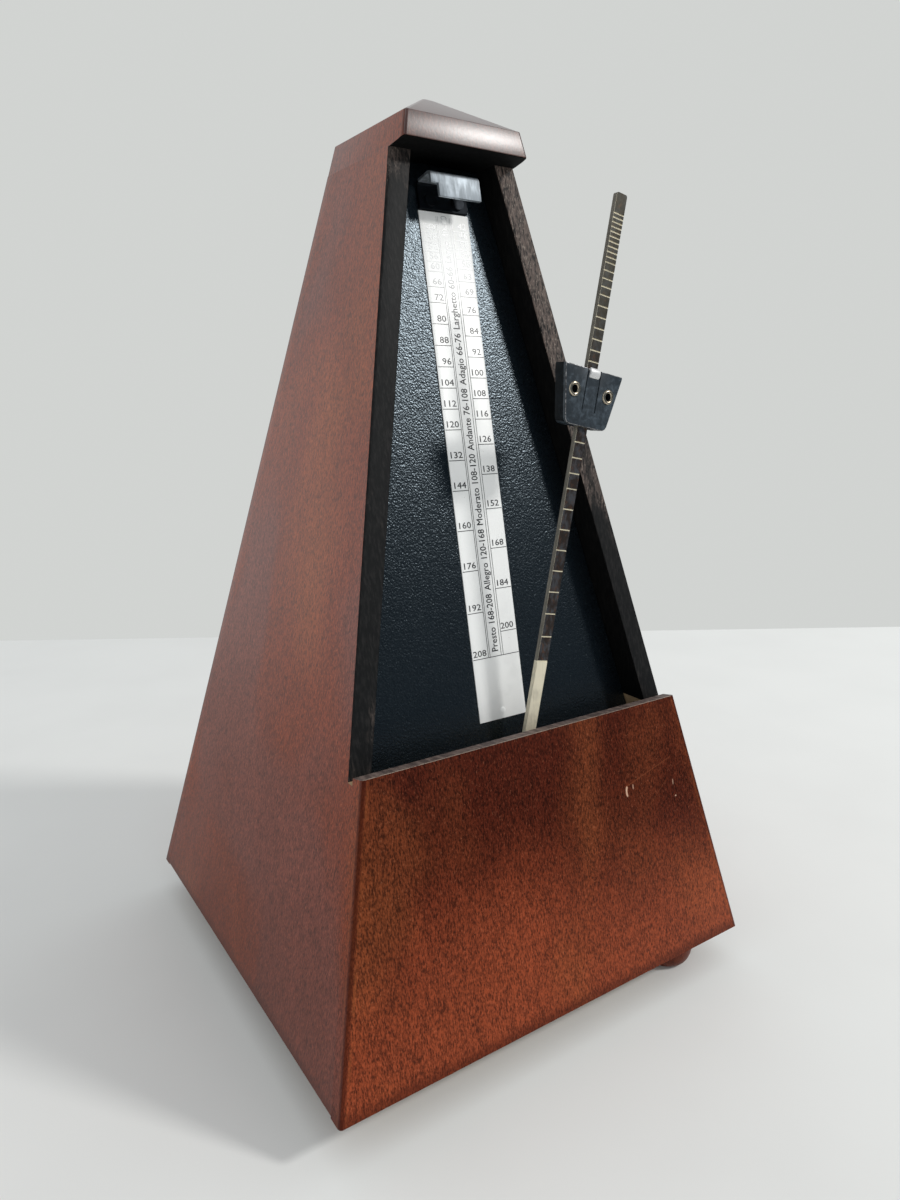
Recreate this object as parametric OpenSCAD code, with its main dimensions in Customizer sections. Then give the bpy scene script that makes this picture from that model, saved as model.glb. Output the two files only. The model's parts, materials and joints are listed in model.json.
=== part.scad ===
// Pyramid metronome: a tapering wooden case with a clockwork movement, a dial
// and an inverted pendulum whose sliding weight sets the tempo.
// Origin on the floor, midway between the outer faces of the case.
// +X is the winding key's side, -Y is the dial side, +Z is up.

/* [Case] */
// Width of the case at its lower edge
case_w = 123.2; // [112:0.1:134]
// Depth of the case at its lower edge
case_d = 125.4; // [116:0.1:136]
// Height from the lower edge to the eaves
case_h = 205.4; // [196:0.1:216]
// Width at the eaves
eaves_w = 32; // [28:0.1:38]
// Depth at the eaves
eaves_d = 35.2; // [31:0.1:40]
// Rise of the roof above the eaves
roof_rise = 8.6; // [6:0.1:14]
// Width of the blunted roof tip
roof_tip = 2.6; // [0.8:0.1:4]
// Thickness of the side panels
side_t = 5.5; // [4:0.1:7]
// Thickness of the front and back panels
front_t = 4; // [3:0.1:5]
// Height of the low front panel
front_h = 66.8; // [62:0.1:70]
// Height of the cap below the eaves
cap_h = 6.7; // [5:0.1:9]
// Rise of the cap's underside at the front edge
cap_lift = 1; // [0.5:0.1:2]
// Depth of the ledge that the lift-off cover sits against
cover_ledge = 6; // [5:0.1:8]
// Height by which the ledge's stop lies below the front panel
ledge_stop = 2.4; // [1:0.1:4]

/* [Base and feet] */
// Thickness of the base board
base_t = 6; // [4.5:0.1:8]
// Distance of the base board above the case's lower edge
base_recess = 1; // [0.5:0.1:2]
// Height of a foot below the case's lower edge
foot_h = 10; // [7:0.1:13]
// Diameter of a foot
foot_d = 14.6; // [12:0.1:17]
// Inset of the foot centres from the case's side edges
foot_inset_x = 16.1; // [14:0.1:20]
// Inset of the foot centres from the front and back edges
foot_inset_y = 11.2; // [11:0.1:17]
// Width of a glue block
block_w = 12; // [10:0.1:14]
// Length of a glue block along the side panel
block_l = 24; // [18:0.1:28]
// Height of a glue block
block_h = 12; // [10:0.1:16]
// Distance of the glue blocks' middles from the middle of the side
block_y = 26; // [24:0.1:30]
// Shank diameter of the wood screws
wood_screw_d = 3; // [2.4:0.1:3.4]
// Depth of the wood screws in the wood that they hold
wood_screw_bite = 7; // [5:0.1:8]

/* [Dial] */
// Depth of the dial plate behind the front face
dial_depth = 13.4; // [12:0.1:14.5]
// Thickness of the dial plate
dial_t = 2.5; // [2:0.1:3.2]
// Height of the dial plate's lower edge above the case's lower edge
dial_low = 58; // [56:0.1:61]
// Width and depth of the battens behind the dial plate
batten_w = 6; // [4:0.1:7]
// Width of the tempo scale
scale_w = 14.3; // [12:0.1:16]
// Thickness of the tempo scale
scale_t = 0.5; // [0.3:0.1:0.8]
// Length of the scale below its lowest mark
scale_under = 15.9; // [12:0.1:17]

/* [Rod clip] */
// Width of the clip's front tab
clip_w = 13.9; // [12:0.1:15]
// Height of the clip's front tab
clip_tab_h = 6; // [5:0.1:7]
// Distance of the tab's face in front of the dial plate
clip_reach = 6.8; // [6:0.1:8]
// Thickness of the clip's sheet
clip_t = 0.8; // [0.6:0.1:1]
// Height of the clip's back flange
clip_flange_h = 6.6; // [6:0.1:7]
// Distance of the clip below the top of the dial plate
clip_drop = 4.4; // [3:0.1:5]
// Width of the notch that lets the rod in
clip_notch_w = 2; // [1.5:0.1:3]
// Height of the notch
clip_notch_h = 3; // [2:0.1:4]

/* [Pendulum] */
// Tilt of the pendulum in the rest pose, in degrees
tilt = 10.7; // [6:0.1:14]
// Length of the rod above the pivot
rod_up = 141.3; // [138:0.1:146]
// Width of the rod
rod_w = 3.2; // [2.8:0.1:3.8]
// Thickness of the rod
rod_t = 1.2; // [1:0.1:1.5]
// Diameter of the rod's eye at the pivot
rod_eye_d = 7; // [6:0.1:8]
// Gap between the rod and the front panel
rod_panel_gap = 2; // [1.5:0.1:3]
// Distance of the bob's centre below the pivot
bob_drop = 27; // [25:0.1:28]
// Diameter of the bob
bob_d = 26; // [22:0.1:27]
// Thickness of the bob
bob_t = 10; // [8:0.1:10.5]
// Gap between the bob and the front upright
bob_gap = 1.2; // [0.8:0.1:2]
// Diameter of the pendulum axle
axle_d = 2.5; // [2:0.1:3]
// Radius that the pallets reach from the axle
pallet_reach = 6.6; // [6:0.1:7]
// Angle of each pallet from the pendulum's centre line, in degrees
pallet_angle = 34; // [32:0.5:40]

/* [Tempo marks] */
// Static moment of the bob and rod for each gram of the weight, in mm
law_moment = 131.2; // [129:0.1:134]
// Moment of inertia of the bob and rod for each gram of the weight, in mm2
law_inertia = 9230; // [9100:10:9400]
// Reading edge of the weight above its centre of swing
law_offset = 16.2; // [14:0.1:17]
// Tempo that the weight is set to in the rest pose
set_tempo = 100; // [40:2:208]
// Height of the reading edge above that mark in the rest pose
set_above = 0.7; // [-1:0.1:1]
// Depth of a mark's cut in the rod
mark_depth = 0.25; // [0.15:0.05:0.4]
// Width of a mark's cut
mark_w = 0.4; // [0.3:0.05:0.6]

/* [Sliding weight] */
// Width of the weight at its top
weight_top_w = 17.9; // [16:0.1:20]
// Width of the weight at its foot
weight_foot_w = 13.3; // [13:0.1:15]
// Height of the weight
weight_h = 13.2; // [12:0.1:14.5]
// Radius of the weight's lower corners
weight_round = 1.6; // [1:0.1:2.2]
// Thickness of the weight's front cover
weight_cover_t = 0.9; // [0.7:0.1:1.1]
// Thickness of the weight behind the rod
weight_back_t = 1.6; // [1.2:0.1:2.4]
// Distance of an eyelet from the centre line
eyelet_x = 5.3; // [5.1:0.1:5.5]
// Distance of the eyelets below the top edge
eyelet_drop = 5.3; // [4.2:0.1:6]
// Outer diameter of an eyelet
eyelet_d = 3.4; // [3:0.1:3.6]
// Bore of an eyelet
eyelet_bore = 1.7; // [1.2:0.1:2]
// Width of the spring tongue
tongue_w = 3.4; // [3:0.1:3.6]
// Length of the spring tongue
tongue_l = 9.6; // [8:0.1:10]
// Width of the slots beside the tongue
tongue_slot = 0.5; // [0.3:0.1:0.6]

/* [Gear train] */
// Teeth of the great wheel
great_n = 60; // [56:1:64]
// Teeth of the intermediate pinion
inter_pinion_n = 10; // [9:1:12]
// Module of the first gear pair
module_1 = 0.55; // [0.5:0.01:0.6]
// Teeth of the intermediate wheel
inter_n = 44; // [40:1:46]
// Teeth of the escape pinion
escape_pinion_n = 8; // [8:1:10]
// Module of the second gear pair
module_2 = 0.5; // [0.46:0.01:0.54]
// Teeth of the escape wheel
escape_n = 15; // [13:1:18]
// Radius of the escape wheel
escape_r = 11; // [10:0.1:11.5]
// Direction from the winding arbor to the intermediate arbor, in degrees
dir_1 = 143.7; // [138:0.1:150]
// Direction from the intermediate arbor to the escape arbor, in degrees
dir_2 = 197.5; // [192:0.1:204]
// Thickness of the great wheel
great_t = 1.6; // [1.2:0.1:2]
// Thickness of the other wheels
wheel_t = 1.2; // [1:0.1:1.5]
// Diameter of the intermediate and escape arbors
arbor_d = 2; // [1.6:0.1:2.4]
// Diameter of the arbors' end pivots
pivot_d = 1.2; // [0.9:0.1:1.4]

/* [Winding] */
// Diameter of the winding arbor
wind_d = 5; // [4.4:0.1:5.6]
// Diameter of the collar that the mainspring winds on
collar_d = 8.4; // [7.6:0.1:9.2]
// Teeth of the ratchet wheel
ratchet_n = 24; // [20:4:28]
// Radius of the ratchet wheel
ratchet_r = 7.2; // [6.8:0.1:7.4]
// Thickness of the ratchet wheel and click
ratchet_t = 1.6; // [1.2:0.1:2]
// Outer radius of the mainspring
spring_r = 15; // [14:0.1:15.4]
// Width of the mainspring
spring_w = 12; // [10:0.1:13]
// Thickness of the mainspring
spring_t = 0.35; // [0.25:0.05:0.45]
// Turns of the mainspring
spring_turns = 7; // [5:1:8]
// Diameter of the key's stem
key_stem_d = 7.4; // [7:0.1:8]
// Length of the key's stem outside the case
key_out = 7; // [5:0.1:10]
// Width of the key's wings
key_wing_w = 27; // [22:0.1:32]
// Height of the key's wings
key_wing_h = 14; // [11:0.1:17]
// Thickness of the key's wings
key_wing_t = 2.2; // [1.8:0.1:3]
// Outer diameter of the escutcheon round the key's hole
escutcheon_d = 17; // [15:0.1:20]

/* [Movement frame] */
// Thickness of the pressed steel frame
frame_t = 1.6; // [1.2:0.1:2]
// Distance from the pendulum's middle to the left wall
frame_left = 15.4; // [15:0.1:17]
// Distance from the pendulum's middle to the right plate
frame_right = 25; // [24:0.1:27]
// Distance from the winding arbor to the rear upright
frame_back = 19; // [18.5:0.1:22]
// Diameter of the frame pillars
pillar_d = 4; // [3.4:0.1:4.4]
// Diameter of the machine screws
screw_d = 2; // [1.6:0.1:2.2]
// Width of the uprights at the axle
upright_w = 12; // [10:0.1:14]

/* [Fits] */
// Radial clearance of turning and fixed shafts in their holes
run_gap = 0.05; // [0.03:0.01:0.08]
// Clearance of the sliding weight on the rod
slide_gap = 0.1; // [0.08:0.01:0.15]
// Gap between wooden parts that are not glued
wood_gap = 0.3; // [0.2:0.05:0.5]
// Gap between parts that move past each other
pass_gap = 0.9; // [0.6:0.1:1.2]
// Backlash of the gears, measured along the pitch circle
backlash = 0.18; // [0.14:0.01:0.24]

/* [Hidden] */
$fn = 48;

wood = [0.42, 0.17, 0.10];
wood_raw = [0.72, 0.56, 0.38];
plate_black = [0.06, 0.07, 0.09];
steel = [0.62, 0.63, 0.65];
dark_steel = [0.25, 0.24, 0.23];
blued = [0.16, 0.19, 0.30];
brass_colour = [0.78, 0.60, 0.28];
lacquer_black = [0.07, 0.07, 0.08];
white_metal = [0.90, 0.90, 0.89];

far = 2 * (case_w + case_d + case_h);
case_z = foot_h;
eaves_z = case_z + case_h;
cap_z = eaves_z - cap_h;
slope_x = (case_w - eaves_w) / 2 / case_h;
slope_y = (case_d - eaves_d) / 2 / case_h;
lean_x = atan(slope_x);
lean_y = atan(slope_y);
side_tx = side_t / cos(lean_x);
front_ty = front_t / cos(lean_y);
ledge_ty = cover_ledge / cos(lean_y);
front_top = case_z + front_h;

// Half width and half depth of the case's outer faces at height z.
function half_x(z) = case_w / 2 - (z - case_z) * slope_x;
function half_y(z) = case_d / 2 - (z - case_z) * slope_y;

// Base and movement heights.
board_z = case_z + base_recess;
board_top = board_z + base_t;
floor_top = board_top + frame_t;

// Gear train, seen from the key's side: each arbor is placed from the last.
great_pitch_r = great_n * module_1 / 2;
great_tip_r = great_pitch_r + module_1 * 0.9;
centre_1 = (great_n + inter_pinion_n) * module_1 / 2;
centre_2 = (inter_n + escape_pinion_n) * module_2 / 2;
wind_z = floor_top + great_tip_r + pass_gap;
inter_z = wind_z + centre_1 * sin(dir_1);
escape_z = inter_z + centre_2 * sin(dir_2);
pivot_z = escape_z + escape_r + axle_d / 2 + 3.65;

// The rod hangs close behind the front panel, and the movement behind the rod.
rod_y = -half_y(front_top) + front_ty + rod_panel_gap;
rod_mid_y = rod_y + rod_t / 2;
upright_y = rod_mid_y + bob_t / 2 + bob_gap;
upright_back = upright_y + frame_t;
escape_y = upright_back + escape_r + pass_gap;
inter_y = escape_y - centre_2 * cos(dir_2);
wind_y = inter_y - centre_1 * cos(dir_1);
rear_y = wind_y + frame_back;
rear_back = rear_y + frame_t;
hub_l = upright_y - rod_y - rod_t - pass_gap / 2;

// Places of the wheels along the arbors.
left_in = -frame_left;
left_out = left_in - frame_t;
right_in = frame_right;
right_out = right_in + frame_t;
great_x = left_in + 2.6;
ratchet_x = great_x + great_t + 0.2;
inter_wheel_x = wheel_t / 2 + 3;
spring_x = inter_wheel_x + wheel_t + 2.4;

pillar_r = pillar_d / 2;
pillar_in = pillar_r + 1.4;
pillars = [[upright_back + pillar_in + 1, floor_top + pillar_in],
    [upright_back + pillar_in, pivot_z - axle_d / 2 - pass_gap - pillar_r],
    [rear_y - pillar_in, pivot_z - axle_d / 2 - pass_gap - pillar_r],
    [rear_y - pillar_in, floor_top + pillar_in]];
frame_top = pivot_z + upright_w / 3;

wood_head_d = wood_screw_d * 2;
board_half_x = half_x(board_z) - side_tx - wood_gap;
board_half_y = half_y(board_z) - front_ty - wood_gap;

// ---- Tempo marks -----------------------------------------------------------

gravity = 9810;
// Beats per minute in the traditional steps, slowest first.
tempos = [for (n = [40:2:60]) n, for (n = [63:3:72]) n, for (n = [76:4:120]) n,
    for (n = [126:6:144]) n, for (n = [152:8:208]) n];

// Distance from the pivot to the weight's reading edge for n beats a minute.
function mark_at(n) = let (w2 = pow(PI * n / 60, 2))
    law_offset + (sqrt(gravity * gravity
        - 4 * w2 * (w2 * law_inertia - gravity * law_moment)) - gravity) / (2 * w2);

set_at = mark_at(set_tempo) + set_above;

// ---- Shapes that repeat ----------------------------------------------------

// An outline in the plane across the case, drawn out along Y.
module along_y(points, y0, y1) {
    translate([0, y1, 0]) rotate([90, 0, 0]) linear_extrude(y1 - y0) polygon(points);
}

// An outline in the plane along the case, drawn out along X.
module along_x(points, x0, x1) {
    translate([x0, 0, 0]) rotate([90, 0, 90]) linear_extrude(x1 - x0) polygon(points);
}

// The case's outer form between two heights, with its faces moved inwards.
module taper(in_x, in_y, z0, z1) {
    intersection() {
        along_y([[-half_x(z0) + in_x, z0], [half_x(z0) - in_x, z0],
            [half_x(z1) - in_x, z1], [-half_x(z1) + in_x, z1]], -far, far);
        along_x([[-half_y(z0) + in_y, z0], [half_y(z0) - in_y, z0],
            [half_y(z1) - in_y, z1], [-half_y(z1) + in_y, z1]], -far, far);
    }
}

// A frame on the sloping front: Y is the depth behind it, Z runs up the slope.
module on_front() {
    translate([0, -case_d / 2, case_z]) rotate([-lean_y, 0, 0]) children();
}

// Slope distance on the front face of a height at a given depth behind it.
function slope_at(z, depth) = (z - case_z + depth * sin(lean_y)) / cos(lean_y);

// A round bar along X or along Y.
module bar_x(r, x0, x1) {
    translate([x0, 0, 0]) rotate([0, 90, 0]) cylinder(r = r, h = x1 - x0);
}

module bar_y(r, y0, y1) {
    translate([0, y1, 0]) rotate([90, 0, 0]) cylinder(r = r, h = y1 - y0);
}

// A slotted countersunk or round-headed screw, pointing down from z = 0.
module screw(d, length, head_h) {
    difference() {
        union() {
            translate([0, 0, -length]) cylinder(d = d, h = length);
            cylinder(d1 = d * 2, d2 = d * 1.3, h = head_h);
        }
        translate([-d * 1.1, -d * 0.12, head_h - d * 0.2]) cube([d * 2.2, d * 0.24, d]);
    }
}

// Gear teeth: each tooth has a straight-sided root and a tapered tip.
function gear_points(n, m, thin) = let (
    r = n * m / 2,
    root = r - 1.2 * m,
    tip = r + 0.9 * m,
    half = (PI * m / 2 - thin) / 2)
    [for (i = [0:n - 1]) for (p = [[root, -half * 1.25], [r, -half], [tip, -half * 0.42],
        [tip, half * 0.42], [r, half], [root, half * 1.25]])
        let (a = i * 360 / n + p[1] / p[0] * 180 / PI) [p[0] * cos(a), p[0] * sin(a)]];

// A leaf of a pinion is thinner than a wheel's tooth, with near radial sides.
function pinion_points(n, m, thin) = let (
    r = n * m / 2,
    root = r - 1.15 * m,
    tip = r + 0.75 * m,
    half = (PI * m / 2 - thin) / 2)
    [for (i = [0:n - 1]) for (p = [[root, -half * root / r], [r, -half], [tip, -half * 0.45],
        [tip, half * 0.45], [r, half], [root, half * root / r]])
        let (a = i * 360 / n + p[1] / p[0] * 180 / PI) [p[0] * cos(a), p[0] * sin(a)]];

// A flat wheel facing +X with spokes between its hub and its rim.
module spoked(hub_r, rim_r, spokes, spoke_w, t, bore_r) {
    rotate([0, 90, 0]) rotate([0, 0, 90]) difference() {
        linear_extrude(t) difference() {
            children();
            difference() {
                circle(r = rim_r);
                circle(r = hub_r);
                for (i = [0:spokes - 1]) rotate(i * 360 / spokes)
                    translate([0, -spoke_w / 2]) square([rim_r + 1, spoke_w]);
            }
        }
        translate([0, 0, -1]) cylinder(r = bore_r, h = t + 2);
    }
}

// Puts a child at an arbor's place, looking along +X.
module at_arbor(y, z, x = 0) {
    translate([x, y, z]) children();
}

// The pendulum's own frame: pivot at the origin, rod along Z, rod's front at y = 0.
module on_pendulum() {
    translate([0, rod_y, pivot_z]) rotate([0, tilt, 0]) children();
}

// The weight's own frame: its top edge at z = 0.
module on_weight() {
    on_pendulum() translate([0, 0, set_at]) children();
}

// ---- Case ------------------------------------------------------------------

// A side panel's outline: the low front, the stop, the cover's ledge, the back.
function side_outline() = let (
    z1 = front_top - ledge_stop)
    [[-half_y(case_z) + front_ty, case_z], [half_y(case_z) - front_ty, case_z],
        [half_y(cap_z) - front_ty, cap_z], [-half_y(cap_z) + ledge_ty, cap_z],
        [-half_y(z1) + ledge_ty, z1], [-half_y(z1) + front_ty, z1]];

module side_panel(side) {
    color(wood) difference() {
        intersection() {
            along_y([[side * half_x(case_z), case_z], [side * half_x(cap_z), cap_z],
                [side * (half_x(cap_z) - side_tx), cap_z],
                [side * (half_x(case_z) - side_tx), case_z]], -far, far);
            along_x(side_outline(), -far, far);
        }
        if (side > 0) at_arbor(wind_y, wind_z) bar_x(key_stem_d / 2 + 1, 0, far);
    }
}

module left_side_panel() { side_panel(-1); }

module right_side_panel() { side_panel(1); }

module back_panel() {
    color(wood) intersection() {
        taper(0, 0, case_z, cap_z);
        along_x([[half_y(case_z) - front_ty, case_z], [half_y(case_z), case_z],
            [half_y(cap_z), cap_z], [half_y(cap_z) - front_ty, cap_z]], -far, far);
    }
}

module front_panel() {
    rise = front_t * sin(lean_y);
    color(wood) intersection() {
        taper(0, 0, case_z, front_top);
        along_x([[-half_y(case_z), case_z], [-half_y(case_z) + front_ty, case_z],
            [-half_y(front_top - rise) + front_ty, front_top - rise],
            [-half_y(front_top), front_top]], -far, far);
    }
}

module top_cap() {
    tip_z = eaves_z + roof_rise;
    tip_y = roof_tip * eaves_d / eaves_w;
    fascia_z = cap_z + cap_lift;
    color(wood) difference() {
        union() {
            taper(0, 0, cap_z, eaves_z);
            intersection() {
                along_y([[-eaves_w / 2, eaves_z], [eaves_w / 2, eaves_z],
                    [roof_tip / 2, tip_z], [-roof_tip / 2, tip_z]], -far, far);
                along_x([[-eaves_d / 2, eaves_z], [eaves_d / 2, eaves_z],
                    [tip_y / 2, tip_z], [-tip_y / 2, tip_z]], -far, far);
            }
        }
        along_x([[-half_y(fascia_z) - 1, cap_z - 1], [-half_y(cap_z) + ledge_ty, cap_z - 1],
            [-half_y(cap_z) + ledge_ty, cap_z],
            [-half_y(fascia_z), fascia_z], [-half_y(fascia_z) - 1, fascia_z]], -far, far);
    }
}

// Places of the feet, as signs of the insets: two on the key's side, one opposite.
foot_x = half_x(case_z) - foot_inset_x;
foot_y = half_y(case_z) - foot_inset_y;
left_foot_x = side_tx + wood_gap + foot_d * 0.48 - half_x(case_z);
feet = [[foot_x, -foot_y], [foot_x, foot_y], [left_foot_x, 0]];

// Places of the glue blocks' screws, and of the screws of the chassis.
block_x = half_x(board_top) - side_tx - block_w / 2;
chassis_holes = [for (x = [left_in + 5, right_in - 5])
    for (y = [upright_back + pillar_in + 7, rear_y - pillar_in - 7]) [x, y]];

module base_board() {
    color(wood_raw) difference() {
        intersection() {
            translate([-board_half_x, -board_half_y, board_z])
                cube([2 * board_half_x, 2 * board_half_y, base_t]);
            taper(side_tx + wood_gap, front_ty + wood_gap, case_z, board_top + 1);
        }
        for (p = feet) translate([p[0], p[1], board_z - 1])
            cylinder(d = wood_screw_d + 2 * run_gap, h = base_t - 0.5 + 1);
        for (sx = [-1, 1]) for (sy = [-1, 1])
            translate([sx * block_x, sy * block_y, board_z]) {
                translate([0, 0, -1]) cylinder(d = wood_screw_d + 2 * run_gap, h = base_t + 2);
                translate([0, 0, -1]) cylinder(d = wood_head_d + 0.6, h = 1 + 1.6);
            }
        for (p = chassis_holes) translate([p[0], p[1], board_top - base_t + 1])
            cylinder(d = wood_screw_d + 2 * run_gap, h = base_t);
    }
}

module glue_blocks() {
    color(wood_raw) for (sx = [-1, 1]) for (sy = [-1, 1]) difference() {
        intersection() {
            taper(side_tx, front_ty, board_top, board_top + block_h);
            translate([sx * block_x - block_w / 2, sy * block_y - block_l / 2, board_top])
                cube([block_w, block_l, block_h]);
        }
        translate([sx * block_x, sy * block_y, board_top - 1])
            cylinder(d = wood_screw_d + 2 * run_gap, h = 1 + wood_screw_bite + 0.5);
    }
}

module base_screws() {
    color(steel) for (sx = [-1, 1]) for (sy = [-1, 1])
        translate([sx * block_x, sy * block_y, board_z + 1.6]) rotate([180, 0, 0])
            screw(wood_screw_d, base_t - 1.6 + wood_screw_bite, 1.4);
}

// A turned bun foot: a flat top, a rounded rim and a small flat sole.
module foot(p) {
    h = foot_h + base_recess;
    r = foot_d / 2;
    sole = r * 0.62;
    color(wood) translate([p[0], p[1], 0]) difference() {
        rotate_extrude() polygon(concat([[0, 0], [sole, 0]],
            [for (a = [-80:8:40]) [sole + (r - sole) * cos(a),
                h * 0.52 + h * 0.5 * sin(a)]],
            [[r * 0.86, h], [0, h]]));
        translate([0, 0, -1]) cylinder(d = wood_screw_d + 2 * run_gap, h = h + 2);
        translate([0, 0, -1]) cylinder(d = wood_head_d + 0.6, h = h * 0.4 + 1);
    }
}

module front_right_foot() { foot(feet[0]); }

module back_right_foot() { foot(feet[1]); }

module left_foot() { foot(feet[2]); }

module foot_screws() {
    h = foot_h + base_recess;
    color(steel) for (p = feet) translate([p[0], p[1], h * 0.4]) rotate([180, 0, 0])
        screw(wood_screw_d, h * 0.6 + base_t - 1, 1.4);
}

// ---- Dial ------------------------------------------------------------------

// A slab parallel to the front, between two depths and two heights.
module front_slab(d0, d1, z0, z1) {
    y0 = d0 / cos(lean_y);
    y1 = d1 / cos(lean_y);
    along_x([[-half_y(z0) + y0, z0], [-half_y(z0) + y1, z0],
        [-half_y(z1) + y1, z1], [-half_y(z1) + y0, z1]], -far, far);
}

dial_low_z = case_z + dial_low;
dial_top_z = cap_z - wood_gap;

module dial_plate() {
    color(plate_black) intersection() {
        taper(side_tx + wood_gap, 0, dial_low_z, dial_top_z);
        front_slab(dial_depth, dial_depth + dial_t, dial_low_z, dial_top_z);
    }
}

module plate_battens() {
    back = dial_depth + dial_t;
    color(wood_raw) for (s = [-1, 1]) intersection() {
        difference() {
            taper(side_tx, 0, dial_low_z, dial_top_z - 30);
            taper(side_tx + batten_w, -far, dial_low_z - 1, dial_top_z);
        }
        front_slab(back, back + batten_w, dial_low_z, dial_top_z - 30);
        translate([s > 0 ? 0 : -far, -far, 0]) cube([far, 2 * far, far]);
    }
}

// Slope distances of the pivot, the clip's top and the two ends of the scale.
pivot_s = slope_at(pivot_z, dial_depth);
clip_s = slope_at(dial_top_z, dial_depth) - clip_drop;
scale_top = clip_s - clip_flange_h - wood_gap;
scale_foot = pivot_s + mark_at(tempos[len(tempos) - 1]) - scale_under;
pin_d = 1;
pin_in = 2;

module scale_strip() {
    color(white_metal) on_front() difference() {
        translate([-scale_w / 2, dial_depth - scale_t, scale_foot])
            cube([scale_w, scale_t, scale_top - scale_foot]);
        for (s = [scale_foot + pin_in, scale_top - pin_in]) translate([0, 0, s])
            bar_y(pin_d / 2 + run_gap, dial_depth - scale_t - 1, dial_depth + 1);
    }
}

module strip_pins() {
    color(steel) on_front() for (s = [scale_foot + pin_in, scale_top - pin_in])
        translate([0, 0, s]) {
            bar_y(pin_d / 2, dial_depth - scale_t, dial_depth);
            bar_y(pin_d * 0.8, dial_depth - scale_t - 0.4, dial_depth - scale_t);
        }
}

// ---- Rod clip --------------------------------------------------------------

clip_screw_d = 1.6;
clip_screw_x = clip_w / 2 - 3;
clip_screw_s = clip_s - clip_flange_h + 2.2;

module rod_clip() {
    color(steel) on_front() difference() {
        union() {
            translate([-clip_w / 2, dial_depth - clip_t, clip_s - clip_flange_h])
                cube([clip_w, clip_t, clip_flange_h]);
            translate([-clip_w / 2, dial_depth - clip_reach, clip_s - clip_t])
                cube([clip_w, clip_reach, clip_t]);
            translate([-clip_w / 2, dial_depth - clip_reach, clip_s - clip_tab_h])
                cube([clip_w, clip_t, clip_tab_h]);
        }
        translate([-clip_w / 2 - 1, dial_depth - clip_reach - 1, clip_s - clip_tab_h - 1])
            cube([clip_notch_w + 1, clip_t + 2, clip_notch_h + 1]);
        for (s = [-1, 1]) translate([s * clip_screw_x, 0, clip_screw_s])
            bar_y(clip_screw_d / 2 + run_gap, dial_depth - clip_t - 1, dial_depth + 1);
    }
}

module clip_screws() {
    color(steel) on_front() for (s = [-1, 1])
        translate([s * clip_screw_x, 0, clip_screw_s]) {
            bar_y(clip_screw_d / 2, dial_depth - clip_t, dial_depth);
            bar_y(clip_screw_d, dial_depth - clip_t - 0.7, dial_depth - clip_t);
        }
}

module key_escutcheon() {
    t = 0.8;
    color(steel) difference() {
        translate([half_x(wind_z), wind_y, wind_z]) rotate([0, 90 - lean_x, 0])
            cylinder(d = escutcheon_d, h = t);
        at_arbor(wind_y, wind_z) bar_x(key_stem_d / 2 + 0.8, 0, far);
    }
}

// ---- Movement frame --------------------------------------------------------

bush_d = axle_d + 2.4;
pin_arbors = [[inter_y, inter_z], [escape_y, escape_z]];

// A wall pierced for the train's arbors, seen from the key's side.
module train_wall(x0, z0) {
    difference() {
        translate([x0, upright_y, z0]) cube([frame_t, rear_back - upright_y,
            pillars[1][1] + pillar_in - z0]);
        at_arbor(wind_y, wind_z) bar_x(wind_d / 2 + run_gap, x0 - 1, x0 + frame_t + 1);
        for (p = pin_arbors) at_arbor(p[0], p[1])
            bar_x(pivot_d / 2 + run_gap, x0 - 1, x0 + frame_t + 1);
        for (p = pillars) at_arbor(p[0], p[1])
            bar_x(screw_d / 2 + run_gap, x0 - 1, x0 + frame_t + 1);
    }
}

// An upright that carries one end of the pendulum's axle.
module upright(y0) {
    difference() {
        translate([-upright_w / 2, y0, board_top])
            cube([upright_w, frame_t, frame_top - board_top]);
        translate([0, 0, pivot_z]) bar_y(bush_d / 2 + run_gap, y0 - 1, y0 + frame_t + 1);
    }
}

module movement_chassis() {
    color(steel) union() {
        difference() {
            translate([left_out, upright_y, board_top])
                cube([right_out - left_out, rear_back - upright_y, frame_t]);
            for (p = chassis_holes) translate([p[0], p[1], board_top - 1])
                cylinder(d = wood_screw_d + 2 * run_gap, h = frame_t + 2);
        }
        train_wall(left_out, board_top);
        upright(upright_y);
        upright(rear_y);
    }
}

module chassis_screws() {
    color(brass_colour) for (p = chassis_holes) translate([p[0], p[1], floor_top])
        screw(wood_screw_d, frame_t + base_t - 1.5, 1.6);
}

module right_frame_plate() {
    color(steel) train_wall(right_in, floor_top);
}

module frame_pillars() {
    color(brass_colour) for (p = pillars) at_arbor(p[0], p[1]) difference() {
        union() {
            bar_x(pillar_r, left_in, right_in);
            bar_x(screw_d / 2, left_out - 0.4, left_in);
        }
        bar_x(screw_d / 2 + run_gap, right_in - 6, right_in + 1);
    }
}

module pillar_screws() {
    color(blued) for (p = pillars) at_arbor(p[0], p[1], right_out)
        rotate([0, 90, 0]) screw(screw_d, frame_t + 5, 1.3);
}

module axle_bushes() {
    color(brass_colour) for (y = [upright_y, rear_y]) translate([0, 0, pivot_z]) difference() {
        bar_y(bush_d / 2, y, y + frame_t);
        bar_y(axle_d / 2 + run_gap, y - 1, y + frame_t + 1);
    }
}

// The mainspring: a spiral that starts at the collar and ends round a pillar.
spring_in = collar_d / 2 + wood_gap;
anchor = [pillars[3][0] - wind_y, pillars[3][1] - wind_z];
anchor_angle = atan2(anchor[1], anchor[0]);

function spiral(r0, r1, turns, end_angle) = [for (i = [0:24 * turns])
    let (k = i / (24 * turns), a = end_angle - 360 * turns * (1 - k),
        r = r0 + (r1 - r0) * k) [r * cos(a), r * sin(a)]];

function reversed(list) = [for (i = [len(list) - 1:-1:0]) list[i]];

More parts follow.
